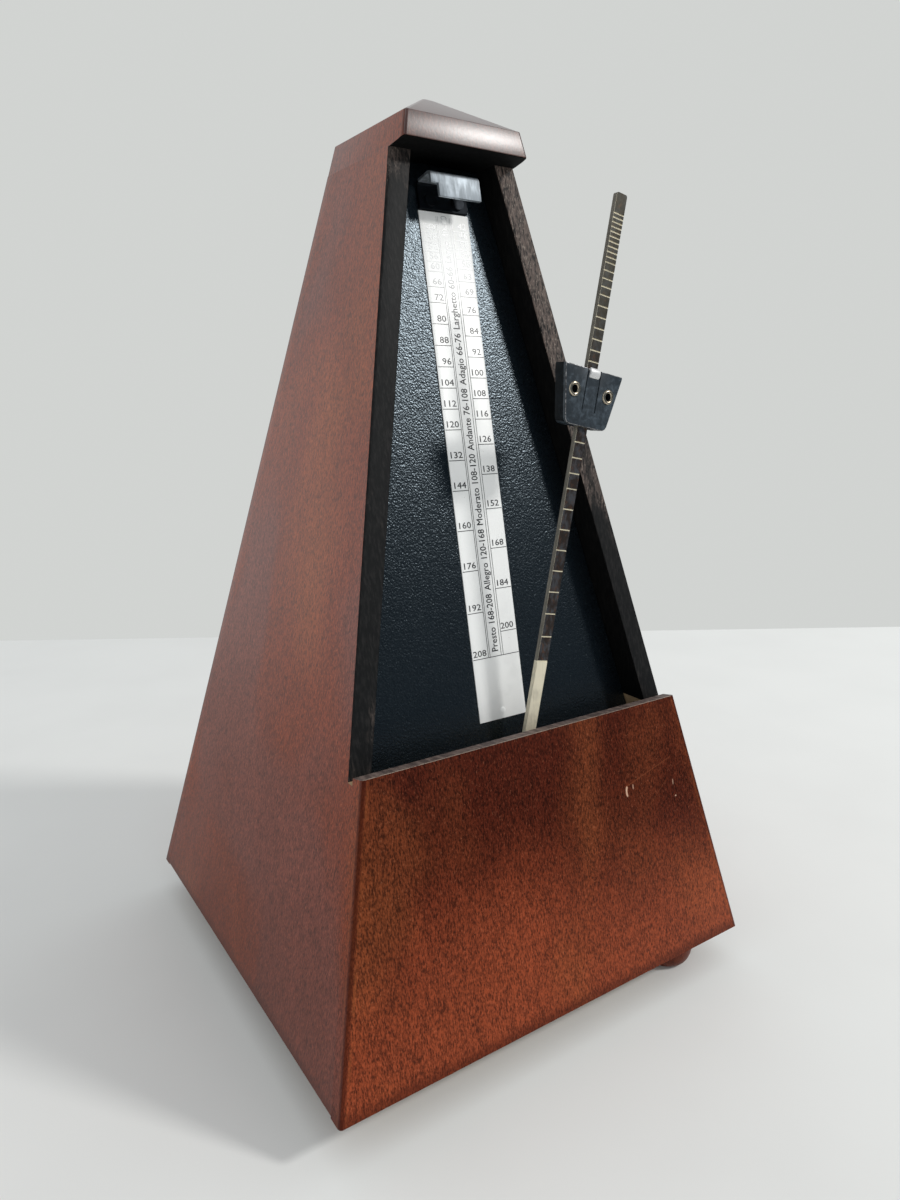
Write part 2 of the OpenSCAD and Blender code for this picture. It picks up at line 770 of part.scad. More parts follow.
module mainspring() {
    loop_in = pillar_r + 0.15;
    reach = norm(anchor);
    color(blued) at_arbor(wind_y, wind_z, spring_x) rotate([90, 0, 90]) union() {
        linear_extrude(spring_w) polygon(concat(
            spiral(spring_in, spring_r, spring_turns, anchor_angle),
            reversed(spiral(spring_in + spring_t, spring_r + spring_t, spring_turns,
                anchor_angle))));
        rotate([0, 0, anchor_angle]) difference() {
            union() {
                translate([spring_r, -spring_t, 0]) cube([reach - spring_r, spring_t, spring_w]);
                translate([reach, 0, 0]) cylinder(r = loop_in + spring_t, h = spring_w);
            }
            translate([reach, 0, -1]) cylinder(r = loop_in, h = spring_w + 2);
        }
    }
}

// ---- Pendulum --------------------------------------------------------------

axle_front = rod_y - 0.6;
axle_end = rear_back + 2.6;

module pendulum_axle() {
    color(steel) translate([0, 0, pivot_z]) bar_y(axle_d / 2, axle_front, axle_end);
}

module pendulum_rod() {
    foot_z = -bob_drop - 3;
    color(dark_steel) on_pendulum() difference() {
        union() {
            translate([-rod_w / 2, 0, foot_z]) cube([rod_w, rod_t, rod_up - foot_z - 1]);
            translate([0, rod_t, rod_up - 1]) rotate([90, 0, 0]) linear_extrude(rod_t)
                intersection() {
                    circle(d = rod_w);
                    translate([-rod_w, 0]) square([2 * rod_w, 1]);
                }
            bar_y(rod_eye_d / 2, 0, rod_t);
        }
        bar_y(axle_d / 2 + run_gap, -1, rod_t + 1);
        translate([0, 0, -bob_drop]) bar_y(screw_d / 2 + run_gap, -1, rod_t + 1);
        for (n = tempos) if (mark_at(n) < rod_up - 1.5)
            translate([-rod_w, -1, mark_at(n) - mark_w / 2])
                cube([2 * rod_w, 1 + mark_depth, mark_w]);
    }
}

module rod_hub() {
    color(brass_colour) translate([0, 0, pivot_z]) difference() {
        bar_y(rod_eye_d / 2 - 0.3, rod_y + rod_t, rod_y + rod_t + hub_l);
        bar_y(axle_d / 2 + run_gap, rod_y, upright_y);
    }
}

module bob() {
    slot = rod_w / 2 + slide_gap;
    color(dark_steel) on_pendulum() translate([0, 0, -bob_drop]) difference() {
        bar_y(bob_d / 2, rod_t / 2 - bob_t / 2, rod_t / 2 + bob_t / 2);
        translate([-slot, -run_gap, -3 - run_gap])
            cube([2 * slot, rod_t + 2 * run_gap, bob_d]);
        bar_y(screw_d / 2 + run_gap, rod_t / 2 - bob_t, rod_t / 2 + bob_t);
    }
}

module bob_rivet() {
    color(steel) on_pendulum() translate([0, 0, -bob_drop]) {
        bar_y(screw_d / 2, rod_t / 2 - bob_t / 2, rod_t / 2 + bob_t / 2);
        bar_y(screw_d * 0.9, rod_t / 2 - bob_t / 2 - 0.6, rod_t / 2 - bob_t / 2);
        bar_y(screw_d * 0.9, rod_t / 2 + bob_t / 2, rod_t / 2 + bob_t / 2 + 0.6);
    }
}

// A pallet: a collar on the axle with a steel flag beside the escape wheel.
module pallet(y, side) {
    length = 2.4;
    color(blued) translate([0, y, pivot_z]) rotate([0, tilt, 0]) difference() {
        union() {
            bar_y(axle_d / 2 + 1.1, -length / 2, length / 2);
            rotate([0, side * pallet_angle, 0])
                translate([-0.4, -length / 2, -pallet_reach]) cube([0.8, length, pallet_reach]);
        }
        bar_y(axle_d / 2 + run_gap, -length, length);
    }
}

module front_pallet() { pallet(escape_y - 3.4, -1); }

module rear_pallet() { pallet(escape_y + 3.4, 1); }

module axle_collar() {
    color(brass_colour) translate([0, 0, pivot_z]) difference() {
        bar_y(axle_d, rear_back + 0.3, rear_back + 2.1);
        bar_y(axle_d / 2 + run_gap, rear_back, axle_end);
    }
}

// ---- Sliding weight --------------------------------------------------------

weight_slot_w = rod_w / 2 + slide_gap;

// The weight's face: wide at the top, with rounded lower corners.
module weight_face() {
    r = weight_round;
    foot = weight_foot_w / 2 - r;
    hull() {
        translate([-weight_top_w / 2, -0.6]) square([weight_top_w, 0.6]);
        for (s = [-1, 1]) translate([s * foot, -weight_h + r]) circle(r = r, $fn = 32);
    }
}

module weight_slab(y0, y1) {
    translate([0, y1, 0]) rotate([90, 0, 0]) linear_extrude(y1 - y0) weight_face();
}

module eyelet_holes(r) {
    for (s = [-1, 1]) translate([s * eyelet_x, 0, -eyelet_drop]) bar_y(r, -far, far);
}

weight_back = rod_t + slide_gap + weight_back_t;

module weight_body() {
    color(lacquer_black) on_weight() difference() {
        weight_slab(-slide_gap, weight_back);
        translate([-weight_slot_w, -1, -weight_h - 1])
            cube([2 * weight_slot_w, 1 + rod_t + slide_gap, weight_h + 2]);
        eyelet_holes(eyelet_d / 2 - 0.4 + run_gap);
    }
}

module weight_cover() {
    w = tongue_w / 2 + tongue_slot;
    color(lacquer_black) on_weight() difference() {
        weight_slab(-slide_gap - weight_cover_t, -slide_gap);
        translate([-w, -far, -tongue_l]) cube([2 * w, 2 * far, tongue_l + 1]);
        eyelet_holes(eyelet_d / 2 - 0.4 + run_gap);
    }
}

// The tongue: a leaf in the cover's slot whose lip is turned out at the top.
module weight_spring() {
    lip = 0.7;
    leaf = weight_cover_t - 0.25;
    color(steel) on_weight() {
        translate([-tongue_w / 2, -slide_gap - leaf, -tongue_l + 0.05])
            cube([tongue_w, leaf, tongue_l - 0.05]);
        translate([-tongue_w / 2, -slide_gap - weight_cover_t - lip, -3.2])
            cube([tongue_w, lip + weight_cover_t - leaf, 3.6]);
    }
}

module weight_eyelets() {
    shank = eyelet_d / 2 - 0.4;
    front = -slide_gap - weight_cover_t;
    color(brass_colour) on_weight() for (s = [-1, 1])
        translate([s * eyelet_x, 0, -eyelet_drop]) difference() {
            union() {
                bar_y(shank, front, weight_back);
                bar_y(eyelet_d / 2, front - 0.35, front);
                bar_y(eyelet_d / 2, weight_back, weight_back + 0.35);
            }
            bar_y(eyelet_bore / 2, front - 1, weight_back + 1);
        }
}

// ---- Great wheel, click and winder -----------------------------------------

stud_r = 1;
stud_at = [cos(118), sin(118)] * (ratchet_r + 3.4);
click_x = ratchet_x;

module great_wheel() {
    color(brass_colour) at_arbor(wind_y, wind_z, great_x) difference() {
        spoked(ratchet_r + 5, great_pitch_r - 2.6, 5, 3, great_t, wind_d / 2 + run_gap)
            rotate(dir_1) polygon(gear_points(great_n, module_1, backlash));
        translate([0, stud_at[0], stud_at[1]]) bar_x(stud_r + run_gap, -1, great_t + 1);
    }
}

module great_wheel_washer() {
    color(steel) at_arbor(wind_y, wind_z) difference() {
        bar_x(wind_d / 2 + 2, left_in + 0.3, great_x - 0.1);
        bar_x(wind_d / 2 + run_gap, left_out, great_x + 1);
    }
}

module click_stud() {
    color(blued) at_arbor(wind_y + stud_at[0], wind_z + stud_at[1]) {
        bar_x(stud_r, great_x - 0.3, ratchet_x + ratchet_t + 0.3);
        bar_x(stud_r + 0.8, ratchet_x + ratchet_t + 0.3, ratchet_x + ratchet_t + 1.1);
    }
}

// Ratchet teeth: a steep face that the click holds and a long back.
function saw_points(n, root, tip) = [for (i = [0:n - 1])
    for (p = [[tip, 0], [root, 2], [root, 360 / n * 0.45]])
        let (a = i * 360 / n + p[1]) [p[0] * cos(a), p[0] * sin(a)]];

ratchet_root = ratchet_r - 1;
// Angle of the ratchet's tooth face where the click's nose rests.
nose_angle = 76;

module ratchet_wheel() {
    color(steel) at_arbor(wind_y, wind_z, ratchet_x)
        spoked(ratchet_root - 1, ratchet_root - 1, 0, 1, ratchet_t, wind_d / 2 + run_gap)
            rotate(nose_angle) polygon(saw_points(ratchet_n, ratchet_root, ratchet_r));
}

// The click: an eye on its stud and an arm whose nose lies behind a tooth.
module click() {
    nose = [cos(nose_angle + 4.5), sin(nose_angle + 4.5)] * (ratchet_root + 0.35);
    heel = [cos(nose_angle + 9), sin(nose_angle + 9)] * (ratchet_r + 1.5);
    toe = [cos(nose_angle + 2.4), sin(nose_angle + 2.4)] * (ratchet_r + 0.3);
    brow = [cos(nose_angle + 3), sin(nose_angle + 3)] * (ratchet_r + 2.2);
    color(steel) at_arbor(wind_y, wind_z, click_x) rotate([90, 0, 90]) difference() {
        linear_extrude(ratchet_t) union() {
            translate(stud_at) circle(r = stud_r + 1.2);
            polygon([nose, toe, brow, stud_at + [0.3, 1.9], stud_at - [0.8, 1.6], heel]);
        }
        translate([stud_at[0], stud_at[1], -1]) cylinder(r = stud_r + run_gap, h = ratchet_t + 2);
    }
}

// The click's spring: a wire foot on the wheel and a leaf that bears on the arm.
module click_spring() {
    color(blued) at_arbor(wind_y, wind_z, great_x + great_t) rotate([90, 0, 90]) union() {
        translate([3, ratchet_r + 4.3, 0]) cylinder(r = 1.1, h = ratchet_t);
        linear_extrude(ratchet_t) polygon([[3, ratchet_r + 4.3], [3.2, ratchet_r + 4.9],
            [-0.6, ratchet_r + 3.9], [-0.7, ratchet_r + 3.5]]);
    }
}

arbor_end = half_x(wind_z) - side_tx - 4;

module winding_arbor() {
    color(steel) at_arbor(wind_y, wind_z) union() {
        bar_x(wind_d / 2, left_out - 0.6, arbor_end + 6);
        bar_x(collar_d / 2, ratchet_x + ratchet_t, right_in - 0.4);
    }
}

// The key: a stem with a socket for the arbor and a pair of rounded wings.
module winding_key() {
    out_x = half_x(wind_z) + key_out;
    lobe = key_wing_h / 2;
    color(steel) at_arbor(wind_y, wind_z) union() {
        difference() {
            bar_x(key_stem_d / 2, arbor_end, out_x + 3);
            bar_x(wind_d / 2 + run_gap, arbor_end - 1, arbor_end + 6.5);
        }
        translate([out_x + lobe, key_wing_t / 2, 0]) rotate([90, 0, 0])
            linear_extrude(key_wing_t) difference() {
                union() {
                    for (s = [-1, 1]) translate([0, s * (key_wing_w / 2 - lobe)]) circle(r = lobe);
                    translate([-lobe * 0.8, -key_wing_w / 2 + lobe])
                        square([lobe * 1.35, key_wing_w - 2 * lobe]);
                }
                for (s = [-1, 1]) translate([0, s * (key_wing_w / 2 - lobe * 0.92)])
                    circle(r = lobe * 0.42);
            }
    }
}

// ---- Intermediate and escape arbors ----------------------------------------

module train_arbor(y, z) {
    color(steel) at_arbor(y, z) union() {
        bar_x(arbor_d / 2, left_in + 0.3, right_in - 0.3);
        bar_x(pivot_d / 2, left_out - 0.2, right_out + 0.2);
    }
}

module pinion(y, z, x0, x1, n, m, angle) {
    color(steel) at_arbor(y, z, x0) rotate([90, 0, 90]) difference() {
        linear_extrude(x1 - x0) rotate(angle) polygon(pinion_points(n, m, backlash));
        translate([0, 0, -1]) cylinder(r = arbor_d / 2 + run_gap / 2, h = x1 - x0 + 2);
    }
}

module intermediate_arbor() { train_arbor(inter_y, inter_z); }

module intermediate_pinion() {
    pinion(inter_y, inter_z, great_x - 0.8, great_x + great_t + 0.8, inter_pinion_n,
        module_1, dir_1 + 180 + 180 / inter_pinion_n);
}

module intermediate_wheel() {
    color(brass_colour) at_arbor(inter_y, inter_z, inter_wheel_x)
        spoked(3.4, inter_n * module_2 / 2 - 2.2, 4, 2, wheel_t, arbor_d / 2 + run_gap)
            rotate(dir_2) polygon(gear_points(inter_n, module_2, backlash));
}

module escape_arbor() { train_arbor(escape_y, escape_z); }

module escape_pinion() {
    pinion(escape_y, escape_z, wheel_t / 2 + 1.2, inter_wheel_x + wheel_t + 1,
        escape_pinion_n, module_2, dir_2 + 180 + 180 / escape_pinion_n);
}

module escape_wheel() {
    color(brass_colour) at_arbor(escape_y, escape_z, -wheel_t / 2)
        spoked(2.8, escape_r - 4.6, 4, 1.8, wheel_t, arbor_d / 2 + run_gap)
            polygon([for (i = [0:escape_n - 1])
                for (p = [[escape_r, 0], [escape_r - 0.1, 2], [escape_r - 2.8, 6],
                    [escape_r - 2.8, 360 / escape_n - 4]])
                    let (a = i * 360 / escape_n + p[1]) [p[0] * cos(a), p[0] * sin(a)]]);
}

left_side_panel();
right_side_panel();
back_panel();
front_panel();
top_cap();
base_board();
glue_blocks();
base_screws();
front_right_foot();
back_right_foot();
left_foot();
foot_screws();
dial_plate();
plate_battens();
scale_strip();
strip_pins();
rod_clip();
clip_screws();
key_escutcheon();
movement_chassis();
chassis_screws();
right_frame_plate();
frame_pillars();
pillar_screws();
axle_bushes();
mainspring();
pendulum_axle();
pendulum_rod();
rod_hub();
bob();
bob_rivet();
front_pallet();
rear_pallet();
axle_collar();
weight_body();
weight_cover();
weight_spring();
weight_eyelets();
great_wheel();
great_wheel_washer();
click_stud();
click_spring();
click();
winding_arbor();
ratchet_wheel();
winding_key();
intermediate_arbor();
intermediate_pinion();
intermediate_wheel();
escape_arbor();
escape_pinion();
escape_wheel();
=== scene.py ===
"""Looks of a pyramid metronome: wooden case, dial, pendulum, weight and key.

Run as a script, it registers the operators below and calls them in order.
"""

import json
import math
from functools import cache

import bpy
from mathutils import Euler, Matrix, Vector


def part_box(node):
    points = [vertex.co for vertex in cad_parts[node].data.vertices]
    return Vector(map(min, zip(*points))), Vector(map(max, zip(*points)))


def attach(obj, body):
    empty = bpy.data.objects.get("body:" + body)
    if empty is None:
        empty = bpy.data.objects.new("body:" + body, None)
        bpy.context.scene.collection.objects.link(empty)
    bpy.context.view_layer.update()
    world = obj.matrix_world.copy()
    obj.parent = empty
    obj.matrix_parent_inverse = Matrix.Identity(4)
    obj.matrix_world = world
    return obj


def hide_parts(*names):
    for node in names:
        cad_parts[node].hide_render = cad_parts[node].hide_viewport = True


bl_info = {
    "name": "Pyramid Metronome",
    "version": (1, 0, 0),
    "blender": (4, 5, 0),
    "location": "3D View > Sidebar > Metronome",
    "description": "Dresses a wooden pyramid metronome and its clockwork",
    "category": "Object",
}

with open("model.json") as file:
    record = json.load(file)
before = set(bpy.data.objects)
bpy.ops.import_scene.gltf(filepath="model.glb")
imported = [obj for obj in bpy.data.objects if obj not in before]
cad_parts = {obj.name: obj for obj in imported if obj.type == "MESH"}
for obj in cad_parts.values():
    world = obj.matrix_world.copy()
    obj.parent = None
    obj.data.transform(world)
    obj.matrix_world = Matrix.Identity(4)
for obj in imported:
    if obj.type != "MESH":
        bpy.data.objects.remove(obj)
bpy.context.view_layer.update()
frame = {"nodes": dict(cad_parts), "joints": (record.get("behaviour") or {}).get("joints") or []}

MM = 0.001
# Points closer than this to a face or a height lie on it.
HAIR = 0.01 * MM
# Faces that meet at less than this are shaded as one smooth surface.
SMOOTH_TO = math.radians(40)
# Turns a piece's Z axis towards the front.
TO_FRONT = Matrix.Rotation(math.radians(90), 4, "X")

# The case tapers upwards from its lower edge to the cap.
PANEL_LOW, PANEL_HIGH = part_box("front_panel")
CAP_LOW, CAP_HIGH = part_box("top_cap")
FOOT_Z, FRONT_TOP = PANEL_LOW.z, PANEL_HIGH.z
HALF_W, HALF_D = PANEL_HIGH.x, -PANEL_LOW.y
SLOPE_X = (HALF_W - CAP_HIGH.x) / (CAP_LOW.z - FOOT_Z)
SLOPE_Y = (HALF_D - CAP_HIGH.y) / (CAP_LOW.z - FOOT_Z)
LEAN_X, LEAN_Y = math.atan(SLOPE_X), math.atan(SLOPE_Y)
FACE = {
    "left": Vector((-1, 0, SLOPE_X)).normalized(),
    "right": Vector((1, 0, SLOPE_X)).normalized(),
    "front": Vector((0, -1, SLOPE_Y)).normalized(),
    "back": Vector((0, 1, SLOPE_Y)).normalized(),
}
UP_FRONT = Vector((0, SLOPE_Y, 1)).normalized()

# The winding key's stem passes through the right side.
KEY_LOW, KEY_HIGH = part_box("winding_key")
KEY_AT = (KEY_LOW + KEY_HIGH) / 2
KEY_HOLE_R = 4.7 * MM


def half_x(z):
    """Half width of the case's outer faces at a height."""
    return HALF_W - (z - FOOT_Z) * SLOPE_X


def half_y(z):
    """Half depth of the case's outer faces at a height."""
    return HALF_D - (z - FOOT_Z) * SLOPE_Y


def moved(x, y, z):
    """A place shifted from the origin."""
    return Matrix.Translation((x, y, z))


# The sloping front: X across, Y the depth behind its face, Z up the slope.
ON_FRONT = moved(0, -HALF_D, FOOT_Z) @ Matrix.Rotation(-LEAN_Y, 4, "X")


def along(node, place):
    """The extent of a CAD node along the axes of a place, as two corners."""
    turned_back = place.inverted()
    points = [turned_back @ v.co for v in frame["nodes"][node].data.vertices]
    return (Vector([min(p[i] for p in points) for i in range(3)]),
            Vector([max(p[i] for p in points) for i in range(3)]))


def pendulum_place():
    """The pendulum's own axes: the pivot at the origin, the rod up along Z."""
    joints = {joint["name"]: joint for joint in frame["joints"]}
    up = Vector(joints["weight_slide"]["axis"])
    tilt = math.atan2(up.x, up.z)
    return moved(*joints["pendulum_swing"]["pos_m"]) @ Matrix.Rotation(tilt, 4, "Y")


ON_PENDULUM = pendulum_place()
ON_WEIGHT = ON_PENDULUM @ moved(0, 0, along("weight_cover", ON_PENDULUM)[1].z)


# ---- Settings --------------------------------------------------------------


def length(name, description, millimetres):
    """A length, given in millimetres."""
    return bpy.props.FloatProperty(name=name, description=description, unit="LENGTH",
                                   default=millimetres * MM, min=0, precision=5)


def colour(name, description, value):
    """A linear colour."""
    return bpy.props.FloatVectorProperty(name=name, description=description, default=value,
                                         size=3, subtype="COLOR", min=0, max=1)


class CaseSettings(bpy.types.PropertyGroup):
    """Sizes and colours of the wooden case."""

    side_t: length("Side thickness", "Thickness of the side panels", 5.5)
    front_t: length("Front thickness", "Thickness of the front and back panels", 4)
    ledge: length("Cover ledge", "Depth of the ledge for the lift-off cover", 6)
    stop_drop: length("Ledge stop", "Drop of the ledge's stop below the front", 2.4)
    corner: length("Corner radius", "Radius of the upright corners", 0.9)
    arris: length("Arris radius", "Radius of the other outer edges", 0.5)
    stain: colour("Stain", "Colour of the stained wood", (0.205, 0.040, 0.014))
    # The dark stain also colours painted shade at the foot, along the corners and low and high on
    # the sides.
    dark_stain: colour("Dark stain", "Colour of the darker clouds", (0.055, 0.0085, 0.003))
    # The warm stain also colours the lighter line beside the corners, which is partly painted
    # highlight.
    warm_stain: colour("Warm stain", "Colour of the lighter streaks", (0.30, 0.082, 0.024))
    worn: colour("Worn edge", "Colour of the wood at worn edges", (0.42, 0.20, 0.11))
    raw: colour("Raw wood", "Colour of unstained wood", (0.50, 0.35, 0.20))
    gloss: bpy.props.FloatProperty(name="Gloss", description="Roughness of the varnish",
                                   default=0.33, min=0.05, max=1, subtype="FACTOR")


class DialSettings(bpy.types.PropertyGroup):
    """Sizes and colours of the dial plate, the tempo scale and the clip."""

    # The plate colour's blue cast is a painted reflection of the cool room.
    plate: colour("Plate", "Colour of the grained dial plate", (0.0022, 0.0036, 0.0050))
    enamel: colour("Enamel", "Colour of the scale's enamel", (0.88, 0.89, 0.88))
    ink: colour("Ink", "Colour of the printed marks", (0.012, 0.012, 0.016))
    digit_h: length("Digit height", "Height of the tempo numbers", 1.5)
    word_h: length("Word height", "Height of the tempo words' capitals", 1.8)
    line_w: length("Line width", "Width of the printed lines", 0.17)
    camber: length("Camber", "Rise of the scale's middle above its edges", 0.05)
    grain: length("Grain", "Size of the plate's leather grain", 0.46)


class PendulumSettings(bpy.types.PropertyGroup):
    """Sizes and colours of the rod, the weight and the winding key."""

    mark_w: length("Mark width", "Width of a tempo cut in the rod", 0.28)
    mark_depth: length("Mark depth", "Depth of a tempo cut in the rod", 0.12)
    patina: colour("Patina", "Colour of the rod's browned face", (0.034, 0.024, 0.020))
    bare: colour("Bare metal", "Colour of the rod's bright metal", (0.78, 0.72, 0.56))
    # The lacquer colour's blue cast is a painted reflection of the cool room.
    lacquer: colour("Lacquer", "Colour of the weight's lacquer", (0.025, 0.034, 0.043))
    brass: colour("Brass", "Colour of the brass parts", (0.78, 0.56, 0.24))
    steel: colour("Steel", "Colour of the steel parts", (0.56, 0.57, 0.58))


class StageSettings(bpy.types.PropertyGroup):
    """Floor, backdrop and light."""

    floor: colour("Floor", "Colour of the floor", (0.775, 0.785, 0.770))
    wall: colour("Backdrop", "Colour of the backdrop", (0.64, 0.655, 0.64))
    lamp: bpy.props.FloatProperty(name="Lamp", description="Power of the main lamp",
                                  default=8.8, min=0, unit="POWER")
    sky: bpy.props.FloatProperty(name="Fill", description="Strength of the soft fill light",
                                 default=0.77, min=0)


# ---- Modelling by hand -----------------------------------------------------


def only(obj):
    """Make one object the whole selection."""
    if bpy.context.object and bpy.context.object.mode != "OBJECT":
        bpy.ops.object.mode_set(mode="OBJECT")
    bpy.ops.object.select_all(action="DESELECT")
    obj.select_set(True)
    bpy.context.view_layer.objects.active = obj
    return obj


def added(name):
    """The object that an add operator has just made, with its name."""
    obj = bpy.context.object
    obj.name = name
    obj.data.name = name
    return obj


def settle(obj, place=None):
    """Put a piece in its place and apply it to the mesh."""
    only(obj)
    if place is not None:
        obj.matrix_world = place @ obj.matrix_world
    bpy.ops.object.transform_apply(location=True, rotation=True, scale=True)
    return obj


def edit(obj, mode="FACE"):
    """Go into edit mode with everything selected."""
    only(obj)
    bpy.ops.object.mode_set(mode="EDIT")
    bpy.ops.mesh.select_mode(type=mode)
    bpy.ops.mesh.select_all(action="SELECT")


def leave():
    """Back to object mode."""
    bpy.ops.object.mode_set(mode="OBJECT")


def face_out():
    """In edit mode, turn every face outwards, and leave."""
    bpy.ops.mesh.select_all(action="SELECT")
    bpy.ops.mesh.normals_make_consistent(inside=False)
    leave()


def block(name, low, high):
    """A box between two corners in metres, as the start of a piece."""
    low, high = Vector(low), Vector(high)
    bpy.ops.object.select_all(action="DESELECT")
    bpy.ops.mesh.primitive_cube_add(size=1, location=(low + high) / 2, scale=high - low)
    return settle(added(name))


def rod(name, radius, start, end, sides=48):
    """A round bar between two points."""
    start, end = Vector(start), Vector(end)
    turn = (end - start).to_track_quat("Z", "Y").to_euler()
    bpy.ops.object.select_all(action="DESELECT")
    bpy.ops.mesh.primitive_cylinder_add(vertices=sides, radius=radius,
                                        depth=(end - start).length,
                                        location=(start + end) / 2, rotation=turn)
    return settle(added(name))


def score(obj, point, normal, **settings):
    """Divide a piece's faces along a plane."""
    edit(obj)
    bpy.ops.mesh.bisect(plane_co=point, plane_no=Vector(normal).normalized(),
                        threshold=1e-4 * MM, **settings)
    leave()


def cut(obj, point, normal):
    """Saw off what lies on the normal's side of a plane."""
    score(obj, point, normal, use_fill=True, clear_outer=True)


def chain(name, points):
    """A line of vertices through some points, drawn by extruding the first one."""
    first, *rest = [Vector(p) for p in points]
    bpy.ops.object.select_all(action="DESELECT")
    bpy.ops.mesh.primitive_plane_add(size=MM, location=first)
    obj = added(name)
    edit(obj, "VERT")
    bpy.ops.mesh.merge(type="CENTER")
    last = first
    for point in rest:
        bpy.ops.mesh.extrude_region_move(TRANSFORM_OT_translate={"value": point - last})
        last = point
    leave()
    return settle(obj)


def sheet(name, points, way, thick):
    """A line through some points dragged along a vector, as sheet of a thickness."""
    obj = chain(name, points)
    edit(obj, "VERT")
    bpy.ops.mesh.extrude_region_move(TRANSFORM_OT_translate={"value": way})
    face_out()
    modify(obj, "SOLIDIFY", thickness=thick, offset=0)
    edit(obj)
    face_out()
    return obj


def outline(name, points, depth):
    """A flat outline given its thickness along a vector."""
    obj = chain(name, points)
    edit(obj, "VERT")
    bpy.ops.mesh.edge_face_add()
    bpy.ops.mesh.extrude_region_move(TRANSFORM_OT_translate={"value": depth})
    face_out()
    return obj


def turned(name, profile, place=None, steps=64):
    """A profile of (radius, height) points spun round Z, then put in its place."""
    obj = chain(name, [(r, 0, h) for r, h in profile])
    edit(obj, "VERT")
    bpy.ops.mesh.spin(steps=steps, angle=math.tau, center=(0, 0, 0), axis=(0, 0, 1))
    bpy.ops.mesh.select_all(action="SELECT")
    bpy.ops.mesh.remove_doubles(threshold=MM / 2000)
    face_out()
    return settle(obj, place)


def copies(model, places):
    """A finished piece at each of some places, every copy with its own mesh."""
    pieces = [model]
    for _ in places[1:]:
        only(model)
        bpy.ops.object.duplicate()
        pieces.append(bpy.context.object)
    return [settle(piece, place) for piece, place in zip(pieces, places)]


def pick_edges(obj, test):
    """Select the edges whose two ends pass a test, ready for edit mode."""
    only(obj)
    mesh = obj.data
    for group in (mesh.vertices, mesh.edges, mesh.polygons):
        group.foreach_set("select", [False] * len(group))
    for edge in mesh.edges:
        edge.select = bool(test(*(mesh.vertices[i].co for i in edge.vertices)))
    if not any(edge.select for edge in mesh.edges):
        raise RuntimeError(f"nothing to select on {obj.name}")
    bpy.context.tool_settings.mesh_select_mode = (False, True, False)
    bpy.ops.object.mode_set(mode="EDIT")


def ease(obj, radius, test, segments=3):
    """Round the edges that pass a test."""
    pick_edges(obj, test)
    bpy.ops.mesh.bevel(offset=radius, segments=segments, affect="EDGES", clamp_overlap=True)
    leave()


def modify(obj, kind, **settings):
    """Add a modifier and apply it."""
    only(obj)
    modifier = obj.modifiers.new(kind.title(), kind)
    for key, value in settings.items():
        setattr(modifier, key, value)
    bpy.ops.object.modifier_apply(modifier=modifier.name)


def combine(obj, operation, tools):
    """Use other solids on a piece, one after the other."""
    for tool in tools:
        modify(obj, "BOOLEAN", object=tool, operation=operation, solver="EXACT")
        bpy.data.objects.remove(tool)


def subtract(obj, *tools):
    """Cut other solids out of a piece."""
    combine(obj, "DIFFERENCE", tools)


def add_to(obj, *others):
    """Unite other solids with a piece."""
    combine(obj, "UNION", others)


def break_edges(obj, radius, segments=2, angle=35):
    """A small radius on every sharp edge."""
    modify(obj, "BEVEL", width=radius, segments=segments, limit_method="ANGLE",
           angle_limit=math.radians(angle), harden_normals=False)


def join(name, pieces):
    """Several pieces as one mesh."""
    only(pieces[0])
    for piece in pieces[1:]:
        piece.select_set(True)
    bpy.ops.object.join()
    return added(name)


def dress(obj, body, finishes, nodes=(), choose=None, place=None):
    """Give a piece its materials, chosen by face, its place, body and slot."""
    obj.data.materials.clear()
    for material in finishes:
        obj.data.materials.append(material)
    for face in obj.data.polygons:
        face.material_index = int(choose(face)) if choose else 0
    settle(obj, place)
    bpy.ops.object.shade_smooth_by_angle(angle=SMOOTH_TO)
    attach(obj, body)
    if nodes:
        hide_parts(*nodes)

# ---- Materials -------------------------------------------------------------


class Value:
    """A shader socket that adds a Math node for each sum it is used in."""

    def __init__(self, finish, socket):
        self.finish = finish
        self.socket = socket

    def math(self, operation, first, *others):
        """A Math node on this value's tree."""
        return self.finish.add("ShaderNodeMath", {"operation": operation}, [first, *others])

    def __add__(self, other):
        return self.math("ADD", self, other)

    __radd__ = __add__

    def __sub__(self, other):
        return self.math("SUBTRACT", self, other)

    def __rsub__(self, other):
        return self.math("SUBTRACT", other, self)

    def __mul__(self, other):
        return self.math("MULTIPLY", self, other)

    __rmul__ = __mul__

    def __truediv__(self, other):
        return self.math("DIVIDE", self, other)

    def __rtruediv__(self, other):
        return self.math("DIVIDE", other, self)

    def __abs__(self):
        return self.math("ABSOLUTE", self)

    def least(self, other):
        return self.math("MINIMUM", self, other)

    def rise(self, low, high, start=0, end=1):
        """0 below low, 1 above high, smooth between."""
        return self.finish.add("ShaderNodeMapRange", {"interpolation_type": "SMOOTHSTEP"},
                               {"Value": self, "From Min": low, "From Max": high,
                                "To Min": start, "To Max": end})

    def fall(self, low, high):
        """1 below low, 0 above high, smooth between."""
        return self.rise(low, high, 1, 0)


